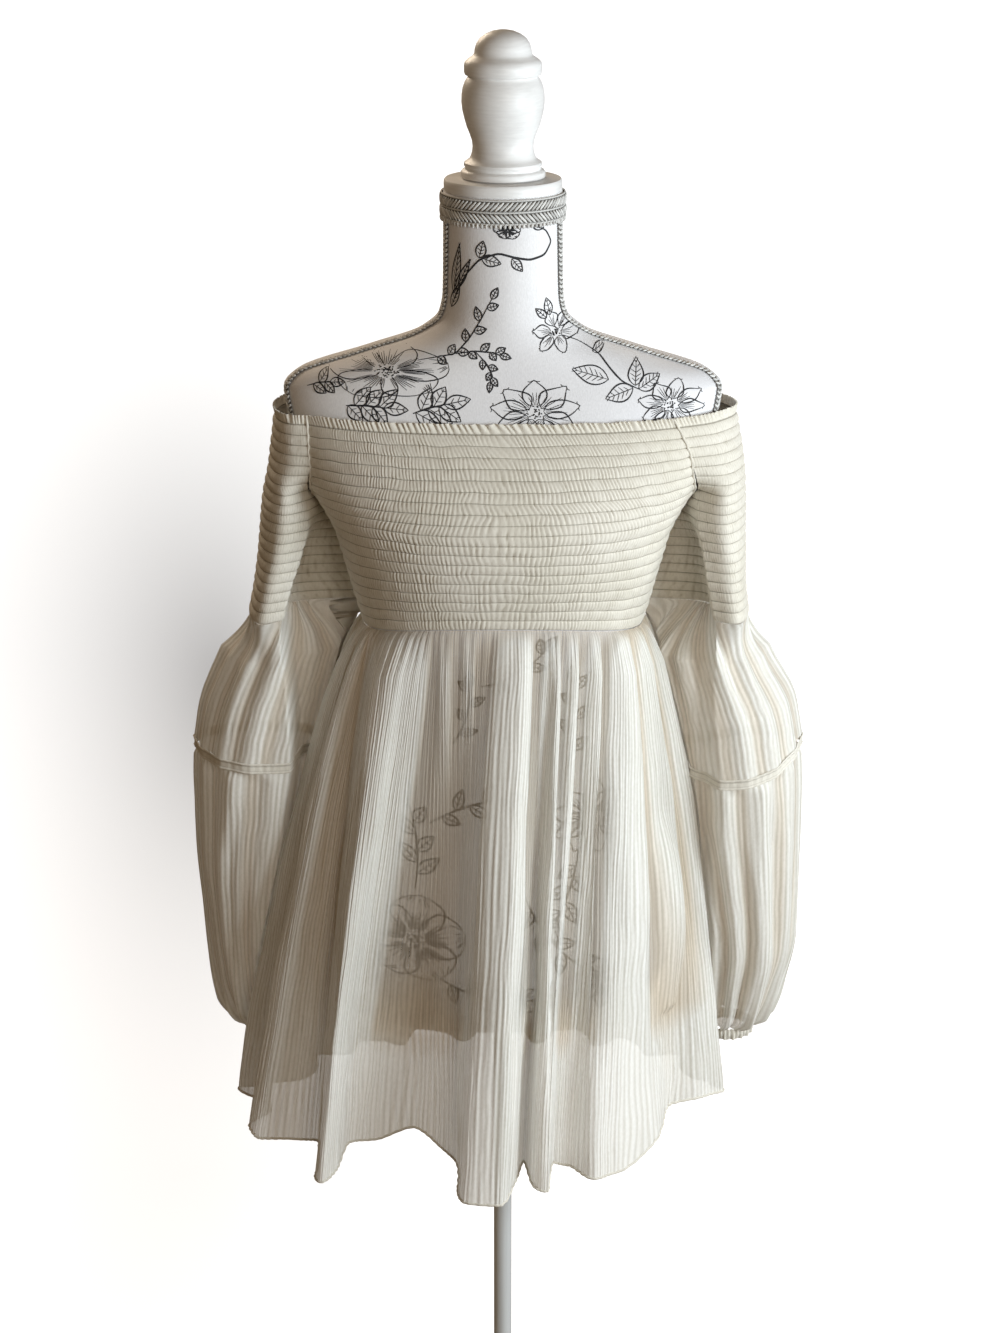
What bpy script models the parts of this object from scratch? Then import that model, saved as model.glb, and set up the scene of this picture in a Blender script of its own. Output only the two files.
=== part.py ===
"""Off-shoulder top with smocked bodice, tiered balloon sleeves and a sheer skirt, on a dress form.

Metres, +Z up, front towards -Y, origin at the centre of the base's underside.
Every cloth piece is a closed wall between an outer and an inner grid of points.
"""

import math

import bmesh
import bpy
import numpy as np

# Driving dimensions
NECK_EDGE_Z = 1.0950
FIRST_STITCH_Z = 1.0857
BAND_PITCH = 0.00928
BODICE_BANDS = 19
SLEEVE_BANDS = 20
STITCH_WALL = 0.0013
PUFF_WALL = 0.0028
BODY_CLEARANCE = 0.0027
SEAM_GAP = 0.0003
SIDE_SAG = 0.019
NOTCH_BANDS = 7
ARMHOLE_Z = 1.0010
WAIST_SEAM_Z = FIRST_STITCH_Z - BODICE_BANDS * BAND_PITCH
SKIRT_WALL = 0.0012
SLEEVE_WALL = 0.0012
HIP_CLEARANCE = 0.0045
FORM_BOTTOM_Z = 0.513
CAP_RADIUS = 0.053
CAP_BOTTOM_Z = 1.2890
CAP_TOP_Z = 1.3000
POLE_RADIUS = 0.0088
BASE_RADIUS = 0.140
BASE_THICKNESS = 0.012
HUB_RADIUS = 0.021
HUB_TOP_Z = 0.040

# Torso sections: height, half width, front depth, back depth, squareness
FORM = np.array([
    (0.513, 0.160, 0.104, 0.115, 2.2),
    (0.580, 0.163, 0.103, 0.125, 2.2),
    (0.640, 0.158, 0.100, 0.122, 2.2),
    (0.720, 0.140, 0.092, 0.105, 2.2),
    (0.800, 0.116, 0.082, 0.085, 2.2),
    (0.860, 0.119, 0.088, 0.087, 2.2),
    (0.910, 0.131, 0.098, 0.092, 2.3),
    (0.955, 0.143, 0.112, 0.097, 2.35),
    (0.980, 0.150, 0.118, 0.099, 2.35),
    (1.000, 0.160, 0.120, 0.100, 2.35),
    (1.030, 0.178, 0.112, 0.099, 2.3),
    (1.060, 0.190, 0.098, 0.096, 2.3),
    (1.090, 0.197, 0.082, 0.092, 2.3),
    (1.112, 0.1995, 0.074, 0.086, 2.3),
    (1.125, 0.188, 0.070, 0.082, 2.2),
    (1.1435, 0.132, 0.066, 0.076, 2.1),
    (1.162, 0.078, 0.062, 0.068, 2.0),
    (1.180, 0.058, 0.058, 0.062, 2.0),
    (1.200, 0.0545, 0.055, 0.058, 2.0),
    (1.2887, 0.0535, 0.0535, 0.0535, 2.0),
])

# Raglan seams: height, then seam angle from the side in degrees, left front, right front, both backs
RAGLAN = np.array([
    (1.001, 0.0, 0.0, 0.0),
    (1.0114, 7.0, 6.5, 7.0),
    (1.0207, 13.5, 13.0, 13.5),
    (1.030, 19.0, 20.0, 19.0),
    (1.045, 25.5, 27.7, 25.0),
    (1.060, 28.5, 32.5, 28.0),
    (1.075, 30.5, 37.8, 31.0),
    (1.095, 32.0, 44.4, 33.0),
])

# Upper sleeve loops below the armhole, inner surface: height, outer x,
# front crease x and y, back crease x and y, body side x and y, fullness front and back
UPPER_LEFT = np.array([
    (0.8995, 0.2336, 0.2045, -0.045, 0.190, 0.050, 0.1435, 0.020, 0.054),
    (0.9300, 0.2276, 0.1965, -0.044, 0.188, 0.048, 0.1485, 0.014, 0.054),
    (0.9600, 0.2238, 0.1865, -0.041, 0.185, 0.044, 0.1575, 0.006, 0.053),
    (1.0000, 0.2206, 0.1780, -0.036, 0.179, 0.040, 0.1725, 0.000, 0.053),
    (1.0207, 0.2170, 0.1785, -0.030, 0.178, 0.028, 0.1815, 0.000, 0.052),
])
UPPER_RIGHT = np.array([
    (0.8995, 0.2260, 0.1960, -0.045, 0.185, 0.050, 0.1435, 0.020, 0.054),
    (0.9300, 0.2235, 0.1900, -0.044, 0.185, 0.048, 0.1485, 0.014, 0.054),
    (0.9600, 0.2225, 0.1850, -0.041, 0.183, 0.044, 0.1575, 0.006, 0.053),
    (1.0000, 0.2215, 0.1780, -0.036, 0.178, 0.040, 0.1725, 0.000, 0.053),
    (1.0207, 0.2205, 0.1785, -0.030, 0.178, 0.028, 0.1815, 0.000, 0.052),
])
CAP_OUTER = np.array([
    (1.0207, 0.2170, 0.2205, 0.052),
    (1.0400, 0.2128, 0.2195, 0.050),
    (1.0700, 0.2090, 0.2150, 0.048),
    (1.0950, 0.2062, 0.2110, 0.046),
])

# Tier and lower sleeve loops, outer surface: height, outer x, body side x,
# centre y, half depth front, half depth back, ripple
TIER_LEFT = np.array([
    (0.7640, 0.2910, 0.1810, 0.006, 0.058, 0.056, 0.0020),
    (0.8000, 0.2845, 0.1700, 0.006, 0.058, 0.056, 0.0026),
    (0.8450, 0.2660, 0.1580, 0.008, 0.055, 0.054, 0.0026),
    (0.8800, 0.2470, 0.1490, 0.010, 0.053, 0.050, 0.0022),
    (0.8998, 0.2385, 0.1465, 0.012, 0.050, 0.046, 0.0014),
])
TIER_RIGHT = np.array([
    (0.7530, 0.2820, 0.1800, 0.004, 0.062, 0.058, 0.0026),
    (0.8000, 0.2740, 0.1690, 0.004, 0.061, 0.056, 0.0030),
    (0.8450, 0.2520, 0.1570, 0.008, 0.056, 0.054, 0.0028),
    (0.8800, 0.2370, 0.1485, 0.010, 0.053, 0.050, 0.0022),
    (0.8998, 0.2320, 0.1465, 0.012, 0.050, 0.046, 0.0014),
])
BALLOON_LEFT = np.array([
    (0.4560, 0.2510, 0.1990, 0.052, 0.026, 0.026, 0.0010),
    (0.4640, 0.2650, 0.1965, 0.050, 0.034, 0.032, 0.0026),
    (0.4800, 0.2760, 0.2050, 0.050, 0.040, 0.040, 0.0028),
    (0.5200, 0.2836, 0.2180, 0.042, 0.046, 0.046, 0.0028),
    (0.5890, 0.2890, 0.2180, 0.028, 0.052, 0.052, 0.0026),
    (0.6560, 0.2925, 0.2040, 0.016, 0.055, 0.055, 0.0024),
    (0.7200, 0.2920, 0.1900, 0.008, 0.057, 0.056, 0.0020),
    (0.7556, 0.2900, 0.1820, 0.006, 0.057, 0.055, 0.0016),
])
BALLOON_RIGHT = np.array([
    (0.4560, 0.2470, 0.1970, 0.052, 0.026, 0.026, 0.0010),
    (0.4640, 0.2600, 0.1940, 0.050, 0.034, 0.032, 0.0026),
    (0.5020, 0.2735, 0.1990, 0.044, 0.045, 0.043, 0.0030),
    (0.5550, 0.2835, 0.2080, 0.034, 0.052, 0.050, 0.0030),
    (0.6410, 0.2840, 0.2010, 0.018, 0.056, 0.055, 0.0026),
    (0.7000, 0.2830, 0.1890, 0.008, 0.059, 0.057, 0.0022),
    (0.7446, 0.2800, 0.1810, 0.004, 0.061, 0.057, 0.0016),
])

# Skirt front folds, left to right: angle at the waist in degrees, hem x, hem y, hem height
SKIRT_FRONT = np.array([
    (180.3, -0.2390, -0.0030, 0.410),
    (187.0, -0.2580, -0.0160, 0.413),
    (193.0, -0.2375, -0.0360, 0.411),
    (198.0, -0.2250, -0.0540, 0.408),
    (203.0, -0.2415, -0.0780, 0.404),
    (207.0, -0.2325, -0.0920, 0.397),
    (212.0, -0.2005, -0.0880, 0.394),
    (217.0, -0.1780, -0.0870, 0.391),
    (221.0, -0.1760, -0.1300, 0.383),
    (226.0, -0.1670, -0.1530, 0.384),
    (235.0, -0.1510, -0.1290, 0.385),
    (240.0, -0.1440, -0.0900, 0.392),
    (243.0, -0.1210, -0.0920, 0.395),
    (247.0, -0.0820, -0.1040, 0.415),
    (251.0, -0.0600, -0.1150, 0.400),
    (258.0, -0.0440, -0.1200, 0.388),
    (263.0, -0.0410, -0.1650, 0.383),
    (267.5, -0.0360, -0.1960, 0.386),
    (275.0, -0.0030, -0.2030, 0.387),
    (281.5, 0.0120, -0.1600, 0.387),
    (284.5, 0.0200, -0.1180, 0.386),
    (288.0, 0.0270, -0.1630, 0.385),
    (294.0, 0.0420, -0.1760, 0.385),
    (299.0, 0.0480, -0.1200, 0.386),
    (304.0, 0.0620, -0.1230, 0.384),
    (311.0, 0.0863, -0.1490, 0.384),
    (318.5, 0.1080, -0.1360, 0.384),
    (328.0, 0.1480, -0.0800, 0.394),
    (335.0, 0.1600, -0.0350, 0.404),
    (343.0, 0.1940, -0.0280, 0.409),
    (351.0, 0.2155, -0.0120, 0.408),
    (359.7, 0.2050, 0.0040, 0.408),
])

# Skirt back folds, right to left, in the same columns
SKIRT_BACK = np.array([
    (0.3, 0.2050, 0.0070, 0.408),
    (8.0, 0.1860, 0.0300, 0.404),
    (16.0, 0.1760, 0.0620, 0.399),
    (24.0, 0.1900, 0.0900, 0.394),
    (31.0, 0.1800, 0.1080, 0.390),
    (38.0, 0.1480, 0.1060, 0.390),
    (44.0, 0.1380, 0.1420, 0.386),
    (51.0, 0.1200, 0.1560, 0.386),
    (58.0, 0.0960, 0.1280, 0.390),
    (66.0, 0.0820, 0.1720, 0.385),
    (73.0, 0.0560, 0.1840, 0.385),
    (80.0, 0.0360, 0.1360, 0.390),
    (88.0, 0.0160, 0.1780, 0.386),
    (95.0, -0.0160, 0.1900, 0.385),
    (102.0, -0.0380, 0.1400, 0.390),
    (110.0, -0.0580, 0.1680, 0.386),
    (117.0, -0.0880, 0.1760, 0.386),
    (124.0, -0.1020, 0.1300, 0.390),
    (131.0, -0.1240, 0.1500, 0.387),
    (138.0, -0.1480, 0.1420, 0.388),
    (145.0, -0.1540, 0.1040, 0.392),
    (152.0, -0.1820, 0.1020, 0.394),
    (160.0, -0.1920, 0.0800, 0.398),
    (167.0, -0.1860, 0.0520, 0.402),
    (173.0, -0.1980, 0.0200, 0.406),
    (179.7, -0.2390, -0.0010, 0.410),
])

# Rings of the shoulder and neck
SHOULDER_HEIGHTS = [1.102, 1.112, 1.118, 1.125, 1.134, 1.1435, 1.152, 1.162, 1.172, 1.185, 1.21, 1.25]

# Finial silhouette: radius, height
FINIAL = [
    (0.0378, 1.3003),
    (0.0378, 1.3060),
    (0.0340, 1.3095),
    (0.0335, 1.3150),
    (0.0290, 1.3190),
    (0.0272, 1.3270),
    (0.0320, 1.3450),
    (0.0370, 1.3660),
    (0.0355, 1.3800),
    (0.0312, 1.3885),
    (0.0345, 1.3915),
    (0.0345, 1.4010),
    (0.0255, 1.4090),
    (0.0235, 1.4180),
    (0.0150, 1.4260),
    (0.0060, 1.4297),
]

# Paint and cloth: colour, roughness, metallic
MATERIALS = {
    "smocked_cloth": ((0.80, 0.76, 0.65), 0.85, 0.0),
    "sheer_cloth": ((0.84, 0.81, 0.71), 0.80, 0.0),
    "cover_cloth": ((0.80, 0.79, 0.80), 0.80, 0.0),
    "braid": ((0.52, 0.50, 0.47), 0.75, 0.0),
    "white_paint": ((0.86, 0.86, 0.84), 0.45, 0.0),
    "pole_steel": ((0.33, 0.34, 0.36), 0.35, 1.0),
    "base_paint": ((0.22, 0.22, 0.23), 0.45, 0.0),
}


def clear_scene():
    for item in list(bpy.data.objects):
        bpy.data.objects.remove(item, do_unlink=True)


def material(name):
    """The named material, made once."""
    found = bpy.data.materials.get(name)
    if found:
        return found
    colour, roughness, metallic = MATERIALS[name]
    made = bpy.data.materials.new(name)
    made.use_nodes = True
    shader = made.node_tree.nodes["Principled BSDF"]
    shader.inputs["Base Color"].default_value = (*colour, 1.0)
    shader.inputs["Roughness"].default_value = roughness
    shader.inputs["Metallic"].default_value = metallic
    made.diffuse_color = (*colour, 1.0)
    return made


def add_object(name, points, faces, material_name):
    mesh = bpy.data.meshes.new(name)
    mesh.from_pydata([tuple(map(float, point)) for point in points], [], faces)
    mesh.validate()
    facing = bmesh.new()
    facing.from_mesh(mesh)
    bmesh.ops.recalc_face_normals(facing, faces=facing.faces)
    facing.to_mesh(mesh)
    facing.free()
    mesh.update()
    mesh.materials.append(material(material_name))
    made = bpy.data.objects.new(name, mesh)
    bpy.context.scene.collection.objects.link(made)
    return made


def smooth(xs, ys, at):
    """A curve through the points with no overshoot, xs rising."""
    xs = np.asarray(xs, float)
    ys = np.asarray(ys, float)
    step = np.diff(xs)
    slope = np.diff(ys) / step
    product = slope[1:] * slope[:-1]
    total = np.where(product > 0, slope[1:] + slope[:-1], 1.0)
    tangent = np.concatenate([slope[:1], np.where(product > 0, 2 * product / total, 0.0), slope[-1:]])
    at = np.clip(at, xs[0], xs[-1])
    i = np.clip(np.searchsorted(xs, at, side="right") - 1, 0, len(xs) - 2)
    t = (at - xs[i]) / step[i]
    start = ys[i] * (1 + 2 * t) * (1 - t) ** 2 + tangent[i] * step[i] * t * (1 - t) ** 2
    end = ys[i + 1] * t * t * (3 - 2 * t) + tangent[i + 1] * step[i] * t * t * (t - 1)
    return start + end


def at_height(table, z):
    """Each column after the first, read at height z."""
    return [float(smooth(table[:, 0], table[:, k], z)) for k in range(1, table.shape[1])]


def torso_point(z, angle, out=0.0):
    """A point on the torso at an angle in radians from +X, moved out by a distance."""
    half, front, back, square = at_height(FORM, z)
    c = math.cos(angle)
    s = math.sin(angle)
    depth = back if s > 0 else front
    x = (half + out) * math.copysign(abs(c) ** (2 / square), c)
    y = (depth + out) * math.copysign(abs(s) ** (2 / square), s)
    return np.array([x, y, z])


def torso_radius(z, bearing):
    """Distance from the axis to the torso surface along a bearing in radians."""
    half, front, back, square = at_height(FORM, z)
    depth = back if math.sin(bearing) > 0 else front
    across = (abs(math.cos(bearing)) / half) ** square
    along = (abs(math.sin(bearing)) / depth) ** square
    return (across + along) ** (-1 / square)


def loop_normals(loop, closed):
    """Mitred level offsets for unit thickness, pointing to the right of travel."""
    along = np.roll(loop, -1, axis=0) - loop
    if not closed:
        along[-1] = along[-2]
    after = np.stack([along[:, 1], -along[:, 0], np.zeros(len(loop))], axis=1)
    after /= np.linalg.norm(after, axis=1, keepdims=True)
    before = np.roll(after, 1, axis=0)
    if not closed:
        before[0] = after[0]
    middle = after + before
    middle /= np.linalg.norm(middle, axis=1, keepdims=True)
    spread = np.sum(middle * after, axis=1, keepdims=True)
    return middle / np.maximum(spread, 0.4)


def smock_levels(bands):
    """Heights and wall thicknesses from the neck edge down: header, then stitch and puff in turn."""
    levels = [
        (NECK_EDGE_Z, 0.0014, 0.0016),
        (FIRST_STITCH_Z, STITCH_WALL, 0.0),
    ]
    for band in range(bands):
        top = FIRST_STITCH_Z - band * BAND_PITCH
        levels.append((top - BAND_PITCH / 2, PUFF_WALL, 0.0))
        levels.append((top - BAND_PITCH, STITCH_WALL, 0.0))
    return levels


def inner_stops(levels, every_band_to=25):
    """The levels that the plain inside keeps: every band to a level, then every second band but the last two."""
    last = len(levels) - 1
    every_band = list(range(1, every_band_to + 1, 2))
    wider = list(range(every_band_to + 4, last - 4, 4))
    return [0] + every_band + wider + [last - 4, last - 2, last]


class Wall:
    """Points and faces of a closed wall, outer grid and coarser inner grid."""

    def __init__(self):
        self.points = []
        self.faces = []

    def put(self, point):
        self.points.append(point)
        return len(self.points) - 1

    def grid(self, rows, span=None):
        """Quads between rows of point numbers."""
        for upper, lower in zip(rows[:-1], rows[1:]):
            columns = span or range(len(upper) - 1)
            for j in columns:
                k = (j + 1) % len(upper)
                self.faces.append((upper[j], lower[j], lower[k], upper[k]))

    def edge(self, fine, coarse):
        """Triangles between a fine edge and the coarse edge whose stops lie on it."""
        for (start, a), (stop, b) in zip(coarse[:-1], coarse[1:]):
            for i in range(start, stop):
                self.faces.append((a, fine[i], fine[i + 1]))
            self.faces.append((a, fine[stop], b))


def bodice_panel(name, columns, first, last, seams):
    """One smocked panel from one seam angle to the other, in degrees."""
    wall = Wall()
    levels = smock_levels(BODICE_BANDS)
    coarse_at = inner_stops(levels)
    outer = []
    inner = []
    for index, (z, thick, flare) in enumerate(levels):
        start_seam, end_seam = (float(smooth(RAGLAN[:, 0], RAGLAN[:, k], z)) for k in seams)
        start = math.radians(first + start_seam) + 0.0014
        end = math.radians(last - end_seam) - 0.0014
        sag = SIDE_SAG * min(1.0, max(0.0, (ARMHOLE_Z - z) / (ARMHOLE_Z - WAIST_SEAM_Z)))
        row = []
        inside = []
        for j in range(columns + 1):
            angle = start + (end - start) * j / columns
            height = z - sag * math.cos(angle) ** 2
            wave = flare * (0.5 + 0.5 * math.sin(2.4 * j + 0.6))
            row.append(wall.put(torso_point(height, angle, BODY_CLEARANCE + thick + wave)))
            if index in coarse_at:
                inside.append(wall.put(torso_point(height, angle, BODY_CLEARANCE)))
        outer.append(row)
        if inside:
            inner.append(inside)
    wall.grid(outer)
    wall.grid(inner)
    wall.edge([row[0] for row in outer], list(zip(coarse_at, [row[0] for row in inner])))
    wall.edge([row[-1] for row in outer], list(zip(coarse_at, [row[-1] for row in inner])))
    wall.grid([inner[0], outer[0]])
    wall.grid([outer[-1], inner[-1]])
    return add_object(name, wall.points, wall.faces, "smocked_cloth")


def run_through(points, count):
    """Count + 1 points spaced evenly along a smooth curve through the given level points."""
    points = np.asarray(points, float)
    reach = np.concatenate([[0.0], np.cumsum(np.linalg.norm(np.diff(points, axis=0), axis=1))])
    slope = np.gradient(points, reach, axis=0)
    at = np.linspace(0.0, reach[-1], count + 1)
    i = np.clip(np.searchsorted(reach, at, side="right") - 1, 0, len(points) - 2)
    h = (reach[i + 1] - reach[i])[:, None]
    t = ((at - reach[i]) / h[:, 0])[:, None]
    start = points[i] * (1 + 2 * t) * (1 - t) ** 2 + slope[i] * h * t * (1 - t) ** 2
    end = points[i + 1] * t * t * (3 - 2 * t) + slope[i + 1] * h * t * t * (t - 1)
    return start + end


def side_point(side, point):
    """The point with its x taken to the given side."""
    return np.array([side * abs(point[0]), point[1], point[2]])


def sleeve_loop(side, z, thick, cap_cells, body_cells):
    """Inner loop of the upper sleeve at a height, and the outer points at its two seam edges if open."""
    left = side < 0
    table = UPPER_LEFT if left else UPPER_RIGHT
    notch = table[-1, 0]
    if z > notch + 0.001:
        outer_left, outer_right, full = at_height(CAP_OUTER, z)
        outer_x = outer_left if left else outer_right
        front_angle = math.radians(float(smooth(RAGLAN[:, 0], RAGLAN[:, 1 if left else 2], z)))
        back_angle = math.radians(float(smooth(RAGLAN[:, 0], RAGLAN[:, 3], z)))
        lift = max(0.0, min(1.0, (1.060 - z) / (1.060 - notch)))
        gap = 0.0050 + 0.024 * lift
        out = BODY_CLEARANCE + 0.0060 * lift
        front = torso_point(z, -front_angle + gap, out)
        back = torso_point(z, back_angle - gap, out)
        front_x, front_y = front[0], front[1]
        back_x, back_y = back[0], back[1]
        body = None
        borders = [
            (side_point(side, torso_point(z, -front_angle + gap, out + thick)), lift),
            (side_point(side, torso_point(z, back_angle - gap, out + thick)), lift),
        ]
    else:
        borders = []
        outer_x, front_x, front_y, back_x, back_y, body_x, body_y, full = at_height(table, z)
        body = (body_x, body_y)
    middle = 0.45
    arc = run_through([
        (front_x, front_y),
        (front_x + (outer_x - front_x) * middle, -full),
        (outer_x, 0.0),
        (back_x + (outer_x - back_x) * middle, full),
        (back_x, back_y),
    ], cap_cells)
    loop = [(side * x, y, z) for x, y in arc]
    if body:
        inward = run_through([
            (back_x, back_y),
            ((back_x + body[0]) / 2, (back_y + body[1]) / 2 + 0.004),
            body,
            ((front_x + body[0]) / 2 - 0.002, (front_y + body[1]) / 2),
            (front_x, front_y),
        ], body_cells)
        loop += [(side * x, y, z) for x, y in inward[1:-1]]
    return np.array(loop), borders


def upper_sleeve(name, side):
    """Smocked sleeve: an open cap above the armhole and a closed tube below it."""
    cap_cells = 9
    body_cells = 4
    wall = Wall()
    levels = smock_levels(SLEEVE_BANDS)
    notch_row = 1 + 2 * NOTCH_BANDS
    coarse_at = inner_stops(levels, 31)
    outer = []
    inner = []
    for index, (z, thick, flare) in enumerate(levels):
        loop, borders = sleeve_loop(side, z, thick, cap_cells, body_cells)
        normal = loop_normals(loop, not borders) * side
        wave = np.array([flare * (0.5 + 0.5 * math.sin(2.3 * j + 1.1)) for j in range(len(loop))])
        skin = loop + normal * (thick + wave)[:, None]
        for end, (point, lift) in zip((0, -1), borders):
            skin[end] = point + (skin[end] - point) * lift
        outer.append([wall.put(p) for p in skin])
        if index in coarse_at:
            inner.append([wall.put(p) for p in loop])
    cap = cap_cells + 1
    tube_outer = outer[notch_row:]
    tube_start = coarse_at.index(notch_row)
    tube_inner = inner[tube_start:]
    arc = list(range(cap_cells))
    whole = list(range(cap_cells + body_cells))
    wall.grid([row[:cap] for row in outer[:notch_row + 1]], arc)
    wall.grid([row[:cap] for row in inner[:tube_start + 1]], arc)
    wall.grid(tube_outer, whole)
    wall.grid(tube_inner, whole)
    stops = coarse_at[:tube_start + 1]
    front_fine = [row[0] for row in outer[:notch_row + 1]]
    back_fine = [row[cap_cells] for row in outer[:notch_row + 1]]
    wall.edge(front_fine, list(zip(stops, [row[0] for row in inner])))
    wall.edge(back_fine, list(zip(stops, [row[cap_cells] for row in inner])))
    wall.grid([inner[0][:cap], outer[0][:cap]], arc)
    body_run = list(range(cap_cells, cap_cells + body_cells))
    wall.grid([inner[tube_start], outer[notch_row]], body_run)
    wall.grid([outer[-1], inner[-1]], whole)
    return add_object(name, wall.points, wall.faces, "smocked_cloth")


def low_loop(side, table, z, columns, phase):
    """Closed loop of the tier or balloon at a height, with soft gathers round it."""
    outer_x, body_x, centre_y, front, back, ripple = at_height(table, z)
    centre_x = (outer_x + body_x) / 2
    reach = (outer_x - body_x) / 2
    loop = []
    for j in range(columns):
        angle = 2 * math.pi * j / columns
        gather = ripple * (math.cos(math.pi * j) * 0.7 + 0.6 * math.sin(5 * angle + phase))
        depth = front if math.sin(angle) < 0 else back
        loop.append((
            side * (centre_x + (reach + gather) * math.cos(angle)),
            centre_y + (depth + gather) * math.sin(angle),
            z,
        ))
    return np.array(loop)


def ray_reach(loop, centre, angle):
    """Distance from a centre to a closed level loop along an angle."""
    ray = np.array([math.cos(angle), math.sin(angle)])
    reach = 0.0
    for a, b in zip(loop[:, :2], np.roll(loop[:, :2], -1, axis=0)):
        along = b - a
        cross = ray[0] * along[1] - ray[1] * along[0]
        if abs(cross) < 1e-12:
            continue
        start = a - centre
        distance = (start[0] * along[1] - start[1] * along[0]) / cross
        share = (start[0] * ray[1] - start[1] * ray[0]) / cross
        if distance > 0 and -1e-9 <= share <= 1 + 1e-9:
            reach = max(reach, distance)
    return reach


def gathered_to(loop, sewn, weight):
    """The loop drawn towards the edge it is sewn to, as far as the weight says."""
    centre = sewn[:, :2].mean(axis=0)
    drawn = loop.copy()
    for i, point in enumerate(loop):
        away = point[:2] - centre
        angle = math.atan2(away[1], away[0])
        radius = ray_reach(sewn, centre, angle) + (0.0012 if i % 2 else 0.0028)
        target = centre + radius * np.array([math.cos(angle), math.sin(angle)])
        drawn[i, :2] = point[:2] + (target - point[:2]) * weight
    return drawn


def ring_wall(name, loops, thickness, material_name, side):
    """A closed ring wall through level loops, thickness inwards."""
    wall = Wall()
    outer = []
    inner = []
    for loop in loops:
        normal = loop_normals(loop, True) * side
        outer.append([wall.put(p) for p in loop])
        inner.append([wall.put(p) for p in loop - normal * thickness])
    columns = list(range(len(loops[0])))
    wall.grid(outer, columns)
    wall.grid(inner, columns)
    wall.grid([inner[0], outer[0]], columns)
    wall.grid([outer[-1], inner[-1]], columns)
    return add_object(name, wall.points, wall.faces, material_name)


def lower_sleeve(side, tier, balloon):
    """Tier, seam band, balloon and cuff of one side."""
    label = "left" if side < 0 else "right"
    tier_foot = float(tier[0, 0])
    tier_top = float(tier[-1, 0])
    heights = [tier_top, tier_top - 0.012, tier_top - 0.045, tier_top - 0.09, tier_foot]
    sewn, _ = sleeve_loop(side, smock_levels(SLEEVE_BANDS)[-1][0], 0.0, 9, 4)
    loops = [
        gathered_to(low_loop(side, tier, z, 30, 0.4), sewn, max(0.0, 1 - (tier_top - z) / 0.045))
        for z in heights
    ]
    ring_wall("sleeve_tier_" + label, loops, SLEEVE_WALL, "sheer_cloth", side)

    band_top = tier_foot - SEAM_GAP
    band_foot = float(balloon[-1, 0]) + SEAM_GAP
    band = [low_loop(side, tier, tier_foot, 30, 0.4) for _ in range(2)]
    for loop, z in zip(band, (band_top, band_foot)):
        loop += loop_normals(loop, True) * side * 0.0007
        loop[:, 2] = z
    ring_wall("sleeve_band_" + label, band, 0.0018, "smocked_cloth", side)

    top = float(balloon[-1, 0])
    foot = float(balloon[0, 0])
    heights = [top, top - 0.045, top - 0.120, top - 0.200, foot + 0.040, foot + 0.010, foot]
    loops = [low_loop(side, balloon, z, 30, 0.9) for z in heights]
    ring_wall("sleeve_balloon_" + label, loops, SLEEVE_WALL, "sheer_cloth", side)

    cuff = [low_loop(side, balloon, foot, 20, 0.0) for _ in range(3)]
    for loop, down, grow in zip(cuff, (SEAM_GAP, 0.0060, 0.0115), (0.0, 0.0012, 0.0)):
        loop += loop_normals(loop, True) * side * grow
        loop[:, 2] = foot - down
    ring_wall("cuff_" + label, cuff, 0.0018, "smocked_cloth", side)


def skirt_panel(name, folds, columns):
    """One skirt panel: folds run from the waist seam to the hem and clear the hips."""
    shares = [0.0, 0.04, 0.12, 0.25, 0.40, 0.56, 0.72, 0.86, 1.0]
    place = np.arange(len(folds))
    at = np.linspace(0, len(folds) - 1, columns + 1)
    waist_angle = np.radians(smooth(place, folds[:, 0], at))
    hem = np.stack([smooth(place, folds[:, k], at) for k in (1, 2, 3)], axis=1)
    waist_z = WAIST_SEAM_Z - SEAM_GAP
    rows = []
    for share in shares:
        row = []
        for j, angle in enumerate(waist_angle):
            height = waist_z - SIDE_SAG * math.cos(angle) ** 2
            top = torso_point(height, angle, BODY_CLEARANCE + 0.0022)
            top[2] = height
            point = top + (hem[j] - top) * share
            bulge = 0.006 * math.sin(math.pi * min(1.0, share * 4)) * (1 if j % 2 else 0.2)
            bearing = math.atan2(point[1], point[0])
            radius = math.hypot(point[0], point[1]) + bulge
            if share > 0:
                reach = min(share / 0.1, 1.0)
                z = max(point[2], FORM_BOTTOM_Z)
                keep = torso_radius(z, bearing) + BODY_CLEARANCE + HIP_CLEARANCE * reach
                if point[2] > FORM_BOTTOM_Z - 0.02:
                    radius = max(radius, keep)
            row.append((radius * math.cos(bearing), radius * math.sin(bearing), point[2]))
        rows.append(row)
    wall = Wall()
    outer = []
    inner = []
    for row in np.array(rows):
        outer.append([wall.put(p) for p in row])
        inner.append([wall.put(p) for p in row - loop_normals(row, False) * SKIRT_WALL])
    wall.grid(outer)
    wall.grid(inner)
    stops = list(range(len(shares)))
    wall.edge([row[0] for row in outer], list(zip(stops, [row[0] for row in inner])))
    wall.edge([row[-1] for row in outer], list(zip(stops, [row[-1] for row in inner])))
    wall.grid([inner[0], outer[0]])
    wall.grid([outer[-1], inner[-1]])
    return add_object(name, wall.points, wall.faces, "sheer_cloth")


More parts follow.
